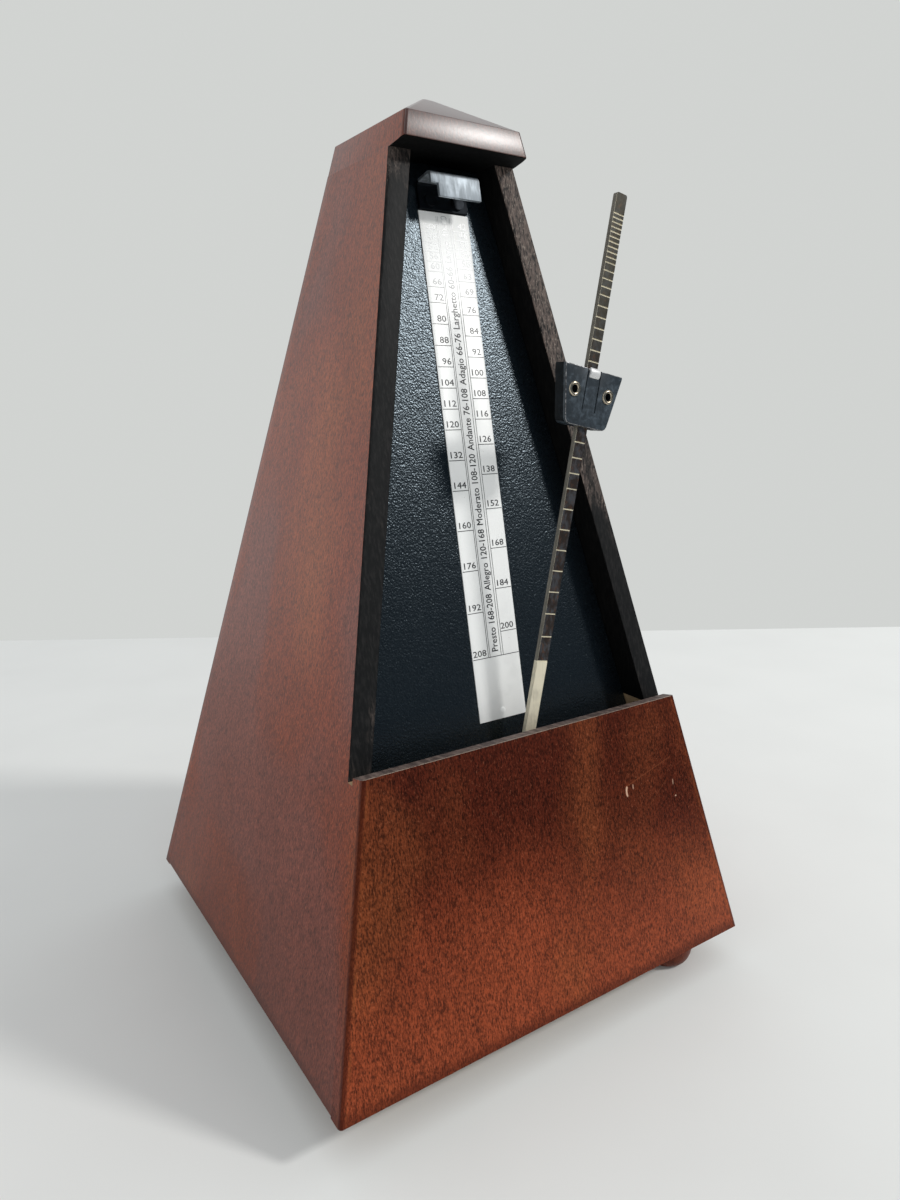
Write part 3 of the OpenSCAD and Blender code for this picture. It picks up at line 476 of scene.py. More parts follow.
class Finish:
    """The nodes of a material, or of the world, under construction."""

    def __init__(self, owner, output="ShaderNodeOutputMaterial"):
        owner.use_nodes = True
        self.owner = owner
        self.tree = owner.node_tree
        self.tree.nodes.clear()
        self.output = self.tree.nodes.new(output)
        self._spot = None

    def add(self, kind, settings=None, inputs=None, output=0):
        """Any node: its settings first, then the values or links of its sockets."""
        node = self.tree.nodes.new(kind)
        for key, value in (settings or {}).items():
            setattr(node, key, value)
        pairs = inputs.items() if isinstance(inputs, dict) else enumerate(inputs or [])
        for key, value in pairs:
            self.give(node.inputs[key], value)
        return Value(self, node.outputs[output])

    def give(self, socket, value):
        """Link or set one socket."""
        if isinstance(value, Value):
            self.tree.links.new(value.socket, socket)
        elif socket.type == "RGBA":
            socket.default_value = (*value, 1) if len(value) == 3 else value
        else:
            socket.default_value = value

    def spot(self):
        """The place on the piece, in millimetres."""
        if self._spot is None:
            place = self.add("ShaderNodeTexCoord", output="Object")
            self._spot = self.stretch(place, (1 / MM, 1 / MM, 1 / MM))
        return self._spot

    def stretch(self, vector, scale):
        """A place scaled."""
        return self.add("ShaderNodeMapping", {"vector_type": "POINT"},
                        {"Vector": vector, "Scale": scale})

    def split(self, vector):
        """The three parts of a place."""
        node = self.add("ShaderNodeSeparateXYZ", inputs=[vector]).socket.node
        return [Value(self, node.outputs[i]) for i in range(3)]

    def noise(self, size, detail, rough, warp=0.0, drag=(1, 1, 1)):
        """Noise with features of a size in mm, drawn out where drag is under 1."""
        place = self.stretch(self.spot(), tuple(share / size for share in drag))
        return self.add("ShaderNodeTexNoise", {"normalize": True},
                        {"Vector": place, "Scale": 1, "Detail": detail,
                         "Roughness": rough, "Distortion": warp})

    def mix(self, share, first, second, blend="MIX"):
        """Two colours mixed."""
        return self.add("ShaderNodeMix", {"data_type": "RGBA", "blend_type": blend},
                        {0: share, 6: first, 7: second}, 2)

    def times(self, color, factor):
        """A colour made lighter or darker by a number that may vary."""
        return self.mix(1.0, color, factor, "MULTIPLY")

    def bump(self, height, depth):
        """A bump of a depth in millimetres."""
        return self.add("ShaderNodeBump", None, {"Strength": 1.0, "Distance": depth * MM,
                                                 "Height": height})

    def show(self, shader):
        """Send a shader to the output, which finishes the material."""
        self.tree.links.new(shader.socket, self.output.inputs["Surface"])
        return self.owner

    def shade(self, **inputs):
        """The Principled shader with its inputs, as the finished material."""
        names = {"color": "Base Color", "rough": "Roughness", "metal": "Metallic",
                 "normal": "Normal", "coat": "Coat Weight", "coat_rough": "Coat Roughness",
                 "gloss": "Specular IOR Level", "tint": "Specular Tint"}
        return self.show(self.add("ShaderNodeBsdfPrincipled", None,
                                  {names[key]: value for key, value in inputs.items()}))


def new_finish(name):
    """An empty material. The functions below each make one finish, once."""
    return Finish(bpy.data.materials.new(name))


def darker(tint, share):
    """A colour made darker, or lighter above 1."""
    return tuple(c * share for c in tint)


def case_edges(f):
    """Distances from the case's outer corners and its foot, in millimetres."""
    x, y, z = f.split(f.spot())
    drop = z - FOOT_Z / MM
    in_x = HALF_W / MM - drop * SLOPE_X - abs(x)
    in_y = HALF_D / MM - drop * SLOPE_Y - abs(y)
    return in_x + in_y, drop


def oval(x, z, middle, size):
    """A soft oval of that size about a point, full inside and nothing outside."""
    across, up = (x - middle[0]) / size[0], (z - middle[1]) / size[1]
    return (across * across + up * up).fall(0.6, 1.2)


def stroke(x, z, start, end, wide):
    """A straight scratch between two points."""
    run, climb = end[0] - start[0], end[1] - start[1]
    reach = math.hypot(run, climb)
    off = abs((x - start[0]) * (climb / reach) - (z - start[1]) * (run / reach))
    way = (x - start[0]) * (run / reach) + (z - start[1]) * (climb / reach)
    return off.fall(wide * 0.3, wide) * way.rise(0, 1) * way.fall(reach - 1, reach)


def stained(name, gloss, painted_top_shade=0.0, dust_and_sheen=0.0, coat=0.0, fleck=0.3, tone=1.0,
            coat_and_shade=0.0, contrast=1.0, marks=None):
    """Mahogany-stained wood under satin varnish: clouds, short fibres, painted shade along the
    corners and a lighter line beside them, partly wear and partly painted highlight.
    """
    case = bpy.context.scene.metronome_case
    f = new_finish(name)
    clouds = f.noise(30, 4, 0.55, 0.5, drag=(1, 1, 0.55))
    patches = f.noise(36 if painted_top_shade else 52, 2, 0.5, 0.3, drag=(1, 1, 0.6))
    fibres = f.noise(0.32, 2, 0.6, drag=(1, 1, 0.14))
    specks = f.noise(0.36, 2, 0.6, drag=(1, 1, 0.55))
    streaks = f.noise(1.3, 3, 0.6, drag=(1, 1, 0.03))
    x, _, z = f.split(f.spot())
    depth = clouds - 0.5
    # Painted shade: the front panel darkens towards its top, more so on the right.
    if painted_top_shade:
        depth = (z.rise(FRONT_TOP / MM - 66, FRONT_TOP / MM) * (1.05 + x.rise(-5, 55) * 0.35)
                 + depth * 1.1)
    color = f.mix(depth.rise(-0.15, 0.95), case.stain, case.dark_stain)
    color = f.mix(patches.rise(0.50, 0.72) * (0.28 if painted_top_shade else 0.55), color,
                  case.warm_stain)
    # A pinkish grey cast in patches: partly dust, partly painted sheen.
    if dust_and_sheen:
        color = f.mix(patches.fall(0.40, 0.52) * dust_and_sheen, color, (0.135, 0.060, 0.056))
    grain = fibres * 0.5 + specks * 0.35 + streaks * 0.15
    color = f.times(color, (1 + (grain.rise(0.36, 0.64) - 0.5) * contrast) * tone)
    color = f.mix(specks.rise(0.60, 0.76) * fleck, color, case.worn)
    corner, drop = case_edges(f)
    rub = f.noise(5, 4, 0.65, drag=(1, 1, 0.4))
    # Painted shade: darker in the lowest few millimetres, at the foot.
    color = f.mix(drop.fall(0.6, 3.5) * 0.6, color, case.dark_stain)
    # Painted shade along the rounded upright corners.
    color = f.mix(corner.fall(0.5, 1.5) * 0.75, color, case.dark_stain)
    # A lighter line beside the corners: partly rubbed wear, partly painted highlight.
    color = f.mix(corner.rise(0.9, 1.3) * corner.fall(1.5, 2.0) * rub.rise(0.40, 0.62) * 0.3,
                  color, case.warm_stain)
    height = fibres * 0.6 + specks * 0.4
    rough = case.gloss + (clouds - 0.5) * 0.10 + specks * 0.10
    # The coat thickens upwards; painted shade darkens the lowest 48 mm and the top.
    if coat_and_shade:
        coat = z.rise(40, 130) * coat_and_shade
        color = f.mix(drop.fall(0, 48) * 0.24 + z.rise(150, 215) * 0.14, color,
                      case.dark_stain)
    for share, tint in marks(x, z) if marks else ():
        color = f.mix(share, color, tint)
    return f.shade(color=color, rough=rough, gloss=gloss, coat=coat, coat_rough=0.40,
                   normal=f.bump(height, 0.03))


@cache
def stained_wood():
    """Sides, back and feet, with painted shade near the foot and towards the top, and a grey cast
    that is partly dust and partly painted sheen.
    """
    return stained("stained_wood", 0.16, dust_and_sheen=0.40, coat_and_shade=0.45, contrast=1.2)


@cache
def front_wood():
    """The front panel, darker towards the top and the upper right as painted shade, with a few
    pale dents.
    """
    def marks(x, z):
        bare = (0.62, 0.40, 0.28)
        crescent = oval(x, z, (26.2, 56.3), (0.50, 1.4)) - oval(x, z, (26.7, 56.1), (0.45, 1.2))
        return ((crescent * 0.8, bare),
                (oval(x, z, (28.4, 57.0), (0.25, 0.7)) * 0.4, bare),
                (oval(x, z, (42.8, 54.8), (0.22, 0.8)) * 0.4, bare),
                (oval(x, z, (43.3, 51.0), (0.32, 0.22)) * 0.6, bare),
                (stroke(x, z, (25.6, 57.5), (43.0, 61.5), 0.20) * 0.28, (0.26, 0.075, 0.028)),
                (stroke(x, z, (33.0, 50.5), (40.5, 56.0), 0.18) * 0.2, (0.26, 0.075, 0.028)))
    return stained("front_wood", 0.09, 1.15, fleck=0.16, contrast=1.3, marks=marks)


@cache
def cap_wood():
    """The cap, with a thicker coat of varnish and a hair crack."""
    foot = CAP_LOW.z / MM

    def marks(x, z):
        return (stroke(x, z, (-1.0, foot + 7.6), (10.5, foot + 2.6), 0.16) * 0.9,
                (0.004, 0.003, 0.003)),
    return stained("cap_wood", 1.0, coat=1.0, tone=0.34, marks=marks)


@cache
def raw_end():
    """The unvarnished top edge of the front panel, greyed by handling, with a painted highlight
    along its front arris.
    """
    f = new_finish("handled_edge")
    lines = f.noise(1.2, 3, 0.6, drag=(1, 0.05, 1))
    spots = f.noise(0.8, 3, 0.6)
    _, y, z = f.split(f.spot())
    inwards = HALF_D / MM - (z - FOOT_Z / MM) * SLOPE_Y + y
    color = f.mix(lines.rise(0.35, 0.7), (0.075, 0.050, 0.044), (0.20, 0.145, 0.125))
    color = f.mix(spots.rise(0.58, 0.72) * 0.5, color, (0.30, 0.24, 0.18))
    # Painted highlight: pale spots along the front arris.
    color = f.mix(inwards.fall(0.25, 0.7) * spots.rise(0.36, 0.50) * 0.8, color,
                  (0.50, 0.40, 0.31))
    return f.shade(color=color, rough=0.6 + lines * 0.15,
                   normal=f.bump(lines * 0.6 + spots * 0.4, 0.05))


@cache
def raw_wood():
    """Plain beech, as cut."""
    case = bpy.context.scene.metronome_case
    f = new_finish("raw_wood")
    rings = f.noise(2.4, 4, 0.6, 0.4, drag=(1, 0.05, 1))
    fibres = f.noise(0.5, 2, 0.6, drag=(1, 0.14, 1))
    dark = darker(case.raw, 0.62)
    color = f.mix(rings.rise(0.3, 0.75), case.raw, dark)
    color = f.mix(fibres.rise(0.55, 0.75) * 0.5, color, dark)
    return f.shade(color=color, rough=0.62 + fibres * 0.2,
                   normal=f.bump(rings * 0.5 + fibres * 0.5, 0.06))


@cache
def black_edge():
    """The black-stained front edges of the side panels, rubbed brown in places."""
    f = new_finish("black_stained_wood")
    fibres = f.noise(0.5, 3, 0.65, drag=(1, 1, 0.06))
    rub = f.noise(12, 4, 0.65, 0.5, drag=(1, 1, 0.3))
    specks = f.noise(0.30, 2, 0.6, drag=(1, 1, 0.25))
    x, _, z = f.split(f.spot())
    ends = (z.rise(150, 215) + z.fall(72, 95)).least(1)
    worn = (x.rise(-5, 5) * z.rise(116, 134) * 0.30 + ends * 0.20 - 0.06
            + rub).rise(0.54, 0.80)
    color = f.mix(fibres.rise(0.4, 0.75), (0.004, 0.0045, 0.005), (0.015, 0.014, 0.014))
    color = f.mix(worn * fibres.rise(0.34, 0.60) * 0.85, color, (0.125, 0.092, 0.078))
    color = f.mix(worn * specks.rise(0.54, 0.70) * 0.6, color, (0.30, 0.25, 0.21))
    return f.shade(color=color, rough=0.50 + rub * 0.2, gloss=0.22,
                   normal=f.bump(fibres * 0.7 + specks * 0.3, 0.06))


@cache
def black_inside():
    """Flat near-black on the inner faces and under the cap: painted shade for the dark recess."""
    f = new_finish("black_inside")
    fibres = f.noise(0.7, 3, 0.6, drag=(1, 1, 0.08))
    color = f.mix(fibres.rise(0.4, 0.75), (0.002, 0.002, 0.0022), (0.007, 0.0065, 0.006))
    return f.shade(color=color, rough=0.75, gloss=0.12, normal=f.bump(fibres, 0.05))


@cache
def grained_plate():
    """Black card with a pressed leather grain and dust, with pale specks that are partly dust and
    partly painted glints.
    """
    dial = bpy.context.scene.metronome_dial
    f = new_finish("grained_plate")
    grain = dial.grain / MM
    wander = f.noise(grain * 1.4, 2, 0.5)
    cells = f.add("ShaderNodeTexVoronoi", {"feature": "SMOOTH_F1"},
                  {"Vector": f.spot(), "Scale": 1 / grain, "Smoothness": 0.35,
                   "Randomness": 1.0})
    fine = f.noise(grain * 0.4, 2, 0.6)
    dust_and_glints = f.noise(0.42, 2, 0.6)
    dust = f.noise(14, 3, 0.6)
    height = (1 - cells) * 0.6 + wander * 0.6 + fine * 0.25
    color = f.mix(cells.rise(0.25, 0.75), darker(dial.plate, 1.5), dial.plate)
    color = f.mix(dust.rise(0.55, 0.85) * 0.2, color, (0.016, 0.019, 0.022))
    # Pale bluish specks in the dust patches: partly dust, partly painted glints.
    color = f.mix(dust_and_glints.rise(0.68, 0.76) * dust.rise(0.30, 0.60) * 0.7, color,
                  (0.11, 0.135, 0.14))
    # The blue specular tint is a painted reflection of the cool room.
    return f.shade(color=color, rough=0.21 + fine * 0.14, gloss=1.0,
                   tint=(0.72, 0.88, 1.0),
                   normal=f.bump(height, 0.10))


@cache
def enamel():
    """White enamel on the scale, with a trace of dust."""
    dial = bpy.context.scene.metronome_dial
    f = new_finish("white_enamel")
    dust = f.noise(6, 4, 0.65)
    specks = f.noise(0.7, 2, 0.6)
    grey = darker(dial.enamel, 0.86)
    color = f.mix(dust.rise(0.45, 0.8) * 0.5, dial.enamel, grey)
    color = f.mix(specks.rise(0.72, 0.80) * 0.5, color, (0.42, 0.40, 0.36))
    return f.shade(color=color, rough=0.33 + dust * 0.08, gloss=0.75,
                   normal=f.bump(dust, 0.02))


@cache
def ink():
    """Printing ink, a little uneven."""
    dial = bpy.context.scene.metronome_dial
    f = new_finish("printing_ink")
    thin = f.noise(0.5, 2, 0.6)
    _, _, z = f.split(f.spot())
    color = f.mix(thin.rise(0.45, 0.8) * 0.5, dial.ink, (0.06, 0.06, 0.07))
    low, high = (FOOT_Z / MM + scale_mark(beats) * UP_FRONT.z for beats in (80, 60))
    color = f.mix(z.rise(low, high) * 0.78, color, (0.62, 0.64, 0.65))
    return f.shade(color=color, rough=0.33 + thin * 0.06, gloss=0.9)


@cache
def patina():
    """The rod's browned face."""
    pendulum = bpy.context.scene.metronome_pendulum
    f = new_finish("browned_steel")
    clouds = f.noise(1.8, 4, 0.65, 0.4, drag=(1, 1, 0.6))
    grain = f.noise(0.35, 3, 0.6, drag=(1, 1, 0.4))
    rust = f.noise(1.1, 3, 0.6, drag=(1, 1, 0.8))
    color = f.mix(clouds.rise(0.42, 0.66), pendulum.patina, (0.085, 0.088, 0.098))
    color = f.mix(rust.rise(0.52, 0.70) * 0.7, color, (0.13, 0.062, 0.035))
    _, _, z = f.split(f.spot())
    color = f.mix(z.rise(150, 180) * 0.5, color, (0.12, 0.115, 0.085))
    color = f.mix(grain.rise(0.5, 0.75) * 0.5, color, (0.012, 0.010, 0.010))
    metal = 0.35 + clouds * 0.4
    return f.shade(color=color, rough=0.40 + grain * 0.18, metal=metal,
                   normal=f.bump(grain, 0.02))


@cache
def bare_metal():
    """Bright metal where the patina is cut or was never there."""
    pendulum = bpy.context.scene.metronome_pendulum
    f = new_finish("bright_metal")
    strokes = f.noise(0.25, 3, 0.6, drag=(1, 1, 0.05))
    stain = f.noise(2.5, 3, 0.6, drag=(1, 1, 0.7))
    dull = darker(pendulum.bare, 0.62)
    color = f.mix(stain.rise(0.45, 0.75) * 0.6, pendulum.bare, dull)
    color = f.mix(strokes.rise(0.55, 0.75) * 0.3, color, (0.30, 0.25, 0.16))
    return f.shade(color=color, rough=0.40 + strokes * 0.2, metal=0.30,
                   normal=f.bump(strokes, 0.012))


@cache
def lacquer_side():
    """A darker, duller copy of the lacquer: painted shade on the weight's sides and in the
    eyelets' bores.
    """
    return lacquer("lacquer_painted_shade", 0.22, 0.55)


@cache
def rod_side():
    """The rod's sides, lighter than its face: partly worn bare, partly painted reflection of the
    wall.
    """
    return plain_metal("rod_side", (0.20, 0.185, 0.155), 0.45, (1, 1, 0.08), 0.5, 0.7, 0.45)


@cache
def lacquer(name="black_lacquer", tone=1.0, dull=0.28):
    """Black lacquer over steel, rubbed and mottled."""
    pendulum = bpy.context.scene.metronome_pendulum
    f = new_finish(name)
    mottle = f.noise(1.7, 4, 0.65, 0.4)
    peel = f.noise(0.5, 3, 0.6)
    black, grey = (tuple(c * share * tone for c in pendulum.lacquer) for share in (0.9, 2.6))
    color = f.mix(mottle.rise(0.42, 0.70) * 0.7, black, grey)
    color = f.mix(peel.rise(0.64, 0.74) * 0.5 * tone, color, (0.13, 0.14, 0.15))
    return f.shade(color=color, rough=dull + mottle * 0.20, gloss=0.6 * tone,
                   normal=f.bump(mottle * 0.6 + peel * 0.4, 0.02))


@cache
def rubbed_edge():
    """Bright steel showing at the lacquer's rubbed edges."""
    f = new_finish("rubbed_edge")
    chips = f.noise(0.8, 4, 0.65)
    color = f.mix(chips.rise(0.40, 0.60), (0.03, 0.03, 0.033), (0.42, 0.42, 0.43))
    return f.shade(color=color, rough=0.35 + chips * 0.15, metal=chips.rise(0.40, 0.60) * 0.8,
                   normal=f.bump(chips, 0.02))


@cache
def worn_lip():
    """The tongue's lip, polished by fingers."""
    return plain_metal("worn_lip", (0.74, 0.74, 0.74), 0.30, (1, 1, 1), 0.7, 0.25, 0.35)


def plain_metal(name, tint, rough, drag=(1, 1, 1), size=0.5, tarnish=0.35, metal=1.0,
                streaks=0.0):
    """A metal with fine tool marks and a breath of tarnish."""
    f = new_finish(name)
    marks = f.noise(size, 3, 0.6, drag=drag)
    dull = f.noise(5, 4, 0.6)
    shadow = darker(tint, 0.45)
    color = f.mix(dull.rise(0.42, 0.78) * tarnish, tint, shadow)
    if streaks:
        color = f.mix(marks.rise(0.40, 0.62) * streaks, color, shadow)
    return f.shade(color=color, rough=rough + marks * 0.16 + dull.rise(0.5, 0.8) * 0.08,
                   metal=metal, normal=f.bump(marks, 0.012))


@cache
def brass():
    """Machined brass."""
    tint = tuple(bpy.context.scene.metronome_pendulum.brass)
    return plain_metal("brass", tint, 0.22, (1, 0.3, 1), 0.4)


@cache
def steel():
    """Bright steel."""
    tint = tuple(bpy.context.scene.metronome_pendulum.steel)
    return plain_metal("steel", tint, 0.24, (0.3, 1, 1), 0.4)


@cache
def zinced():
    """Pressed steel sheet with a dull zinc coat."""
    return plain_metal("zinced_steel", (0.46, 0.47, 0.49), 0.36, (1, 1, 1), 1.4, 0.6)


@cache
def blued():
    """Blued spring steel."""
    return plain_metal("blued_steel", (0.055, 0.075, 0.150), 0.22, (1, 1, 0.3), 0.6, 0.6)


@cache
def nickel():
    """Nickel plate on the key and its escutcheon."""
    return plain_metal("nickel", (0.66, 0.63, 0.57), 0.17, (1, 1, 1), 0.9, 0.3)


@cache
def eyelet():
    """Rolled brass eyelets, worn pale."""
    return plain_metal("eyelet_brass", (0.62, 0.54, 0.42), 0.22, (1, 1, 1), 0.5, 0.5)


@cache
def aluminium():
    """Sheet aluminium, drawn upright, its blue tint a painted reflection of the cool room."""
    return plain_metal("sheet_aluminium", (0.60, 0.66, 0.71), 0.56, (1, 1, 0.03), 1.5, 0.35,
                       streaks=0.55)


@cache
def dull_aluminium():
    """The clip's flange and screws: a darkened copy of the aluminium, as painted shade."""
    return plain_metal("dull_aluminium", (0.030, 0.034, 0.040), 0.50, (1, 1, 0.04), 0.9, 0.5)


@cache
def iron():
    """The cast bob under black paint."""
    f = new_finish("painted_iron")
    sand = f.noise(0.9, 4, 0.6)
    color = f.mix(sand.rise(0.5, 0.8), (0.020, 0.020, 0.022), (0.05, 0.05, 0.052))
    return f.shade(color=color, rough=0.5 + sand * 0.15, normal=f.bump(sand, 0.10))


# ---- Case ------------------------------------------------------------------


def face_point(side, inwards=0.0):
    """A point of an outer face, moved inwards square to it."""
    start = {"left": (-HALF_W, 0, FOOT_Z), "right": (HALF_W, 0, FOOT_Z),
             "front": (0, -HALF_D, FOOT_Z), "back": (0, HALF_D, FOOT_Z)}[side]
    return Vector(start) - FACE[side] * inwards


def board(name, z0, z1, outer=(), inner=()):
    """A board of the case: cut by outer faces and by faces that look inwards."""
    obj = block(name, (-HALF_W * 1.1, -HALF_D * 1.1, z0), (HALF_W * 1.1, HALF_D * 1.1, z1))
    for side, depth in outer:
        cut(obj, face_point(side, depth), FACE[side])
    for side, depth in inner:
        cut(obj, face_point(side, depth), -FACE[side])
    return obj


def on_face(side, depth, *points, slack=0.05 * MM):
    """Whether points lie on an outer face at a depth."""
    start = face_point(side, depth)
    return all(abs((p - start).dot(FACE[side])) < slack for p in points)


def at_foot(a, b):
    """Whether an edge lies in the case's lower edge."""
    return max(a.z, b.z) < FOOT_Z + 0.1 * MM


def facing(face, direction, share=0.8):
    """Whether a face looks along a direction."""
    return face.normal.dot(direction) > share


def round_corners(obj, face, radius, segments):
    """Round the two upright corners that an outer face shares with the sides."""
    for side in ("left", "right"):
        ease(obj, radius, lambda a, b: on_face(face, 0, a, b) and on_face(side, 0, a, b),
             segments)


class METRONOME_OT_case(bpy.types.Operator):
    """Front, back and side panels of the case"""

    bl_idname = "metronome.case"
    bl_label = "Case panels"

    def execute(self, context):
        case = context.scene.metronome_case
        wood, black, raw = stained_wood(), black_inside(), raw_wood()
        arris, ledge = case.arris, case.ledge
        spare, long_edge = 5 * MM, 10 * MM
        sides = [("left", 0), ("right", 0)]

        front = board("front_board", FOOT_Z, FRONT_TOP + spare, [*sides, ("front", 0)],
                      [("front", case.front_t)])
        cut(front, (0, -half_y(FRONT_TOP), FRONT_TOP), UP_FRONT)
        round_corners(front, "front", case.corner, 5)
        ease(front, arris, lambda a, b: on_face("front", 0, a, b)
             and abs(a.z - b.z) < arris and (a - b).length > long_edge)

        def front_finish(face):
            if facing(face, UP_FRONT):
                return 1
            if abs(face.normal.x) > 0.70:
                return 3
            return 2 if facing(face, -FACE["front"]) else 0

        dress(front, "case", [front_wood(), raw_end(), raw, wood],
              ["front_panel"], front_finish)

        back = board("back_board", FOOT_Z, CAP_LOW.z, [*sides, ("back", 0)],
                     [("back", case.front_t)])
        round_corners(back, "back", case.corner * 0.7, 4)
        ease(back, arris, lambda a, b: on_face("back", 0, a, b) and at_foot(a, b))
        dress(back, "case", [wood, raw], ["back_panel"],
              lambda face: facing(face, -FACE["back"]))

        stop_z = FRONT_TOP - case.stop_drop
        for side in ("left", "right"):
            panel = board(side + "_board", FOOT_Z, CAP_LOW.z,
                          [(side, 0), ("front", case.front_t), ("back", case.front_t)],
                          [(side, case.side_t)])
            subtract(panel, board("rebate", stop_z, CAP_LOW.z + MM, [], [("front", ledge)]))
            if side == "right":
                subtract(panel, rod("key_hole", KEY_HOLE_R, (0, KEY_AT.y, KEY_AT.z),
                                    (2 * HALF_W, KEY_AT.y, KEY_AT.z)))
            ease(panel, arris * 1.2, lambda a, b: on_face(side, 0, a, b)
                 and (on_face("front", ledge, a, b) or at_foot(a, b)))
            ease(panel, arris * 0.5, lambda a, b: on_face(side, case.side_t, a, b)
                 and on_face("front", ledge, a, b), 2)

            def side_finish(face):
                high_up = face.center.z > stop_z + 0.1 * MM
                if face.normal.z > 0.8 and face.center.z < CAP_LOW.z - MM:
                    return 2
                if facing(face, FACE["front"], 0.6) and high_up:
                    return 1
                # The inner faces above the stop take the near-black painted shade.
                if facing(face, -FACE[side], 0.6):
                    return 3 if high_up else 2
                return 0

            score(panel, (0, 0, stop_z + 0.05 * MM), (0, 0, 1))
            dress(panel, "case", [wood, black_edge(), raw, black],
                  [side + "_side_panel"], side_finish)
        return {"FINISHED"}


class METRONOME_OT_cap(bpy.types.Operator):
    """The roof-shaped cap on top of the case"""

    bl_idname = "metronome.cap"
    bl_label = "Cap"

    def execute(self, context):
        case = context.scene.metronome_case
        corners = [v.co for v in frame["nodes"]["top_cap"].data.vertices]
        eaves_z = max(p.z for p in corners if abs(abs(p.x) - half_x(p.z)) < HAIR)
        fascia_z = min(p.z for p in corners if abs(p.y + half_y(p.z)) < HAIR)
        tip = [p for p in corners if p.z > CAP_HIGH.z - HAIR]
        run_x = half_x(eaves_z) - max(p.x for p in tip)
        run_y = half_y(eaves_z) - max(p.y for p in tip)
        rise = CAP_HIGH.z - eaves_z

        cap = board("cap", CAP_LOW.z, CAP_HIGH.z, [(side, 0) for side in FACE])
        for sign in (-1, 1):
            cut(cap, (sign * half_x(eaves_z), 0, eaves_z), (sign * rise, 0, run_x))
            cut(cap, (0, sign * half_y(eaves_z), eaves_z), (0, sign * rise, run_y))
        ledge_y = -half_y(CAP_LOW.z) + case.ledge / math.cos(LEAN_Y)
        edge_y = -half_y(fascia_z)
        cut(cap, (0, ledge_y, CAP_LOW.z), (0, CAP_LOW.z - fascia_z, edge_y - ledge_y))

        # The upright corners, the eaves, the hips with the tip, then the fascia's foot.
        eaves_r, hip_r, near = 0.7 * MM, 1.1 * MM, 0.6 * MM
        ease(cap, case.corner * 0.9, lambda a, b: abs(a.z - b.z) > 4 * MM
             and min(abs(a.x), abs(b.x)) > 10 * MM, 5)
        ease(cap, eaves_r, lambda a, b: min(a.z, b.z) > eaves_z - near
             and abs(a.z - b.z) < near / 2 and a.z < eaves_z + near)
        ease(cap, hip_r, lambda a, b: max(a.z, b.z) > CAP_HIGH.z - 0.1 * MM
             or min(a.z, b.z) > eaves_z + MM)
        ease(cap, case.arris * 0.6, lambda a, b: max(abs(a.z - fascia_z), abs(b.z - fascia_z))
             < 0.4 * MM and max(a.y, b.y) < edge_y + MM, 2)

        def cap_finish(face):
            # The underside takes the near-black painted shade.
            if face.normal.z < -0.7:
                return 2
            return face.normal.z > 0.5 or facing(face, FACE["front"], 0.7)

        dress(cap, "case", [stained_wood(), cap_wood(), black_inside()],
              ["top_cap"], cap_finish)
        return {"FINISHED"}


class METRONOME_OT_feet(bpy.types.Operator):
    """Three turned bun feet"""

    bl_idname = "metronome.feet"
    bl_label = "Feet"

    def execute(self, context):
        nodes = ["front_right_foot", "back_right_foot", "left_foot"]
        boxes = [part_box(node) for node in nodes]
        low, high = boxes[0]
        r, h = (high.x - low.x) / 2, high.z - low.z
        sole, screw, head, arris = r * 0.62, 1.55 * MM, 3.3 * MM, 0.3 * MM
        profile = [(screw, h), (r * 0.80, h)]
        for degrees in range(48, -81, -8):
            a = math.radians(degrees)
            profile.append((sole + (r - sole) * math.cos(a), h * (0.52 + 0.5 * math.sin(a))))
        profile += [(sole, 0.1 * MM), (sole - arris, 0), (head + arris, 0), (head, arris),
                    (head, h * 0.4), (screw, h * 0.4), (screw, h)]
        places = [moved((low.x + high.x) / 2, (low.y + high.y) / 2, low.z)
                  for low, high in boxes]
        for node, foot in zip(nodes, copies(turned("foot", profile), places)):
            foot.name = foot.data.name = node + "_turned"
            dress(foot, "case", [stained_wood()], [node])
        return {"FINISHED"}


# ---- Dial ------------------------------------------------------------------

# The printed scale: beats a minute in the traditional steps, slowest first.
TEMPOS = [*range(40, 60, 2), *range(60, 72, 3), *range(72, 120, 4), *range(120, 144, 6),
          *range(144, 209, 8)]
WORDS = ["Presto 168-208", "Allegro 120-168", "Moderato 108-120", "Andante 76-108",
         "Adagio 66-76", "Larghetto 60-66", "Largo 40-60"]
# Height of the font's capitals as a share of its size.
CAPITAL = 0.69
GRAVITY = 9810


def mark(beats, moment, inertia, offset):
    """Distance in mm of a tempo's mark from the pivot, by the compound pendulum's law."""
    square = (math.pi * beats / 60) ** 2
    root = math.sqrt(GRAVITY ** 2 - 4 * square * (square * inertia - GRAVITY * moment))
    return offset + (root - GRAVITY) / (2 * square)


def scale_mark(beats):
    """Slope distance of a printed line above the case's lower edge, in mm."""
    return mark(beats, moment=135.8, inertia=9258.5, offset=66.97)


def rod_mark(beats):
    """Distance of the rod's cut for a tempo above the pivot, in mm."""
    return mark(beats, moment=131.2, inertia=9230, offset=16.2)


def drop_short_steps(letters, step=0.02):
    """Take out points that all but touch the one before: a heavier letter folds there."""
    bpy.ops.object.mode_set(mode="EDIT")
    bpy.ops.curve.select_all(action="DESELECT")
    close = [point for spline in letters.data.splines
             for i, point in enumerate(spline.bezier_points)
             if (point.co - spline.bezier_points[i - 1].co).length < step]
    for point in close:
        point.select_control_point = True
    if close:
        bpy.ops.curve.delete(type="VERT")
    leave()


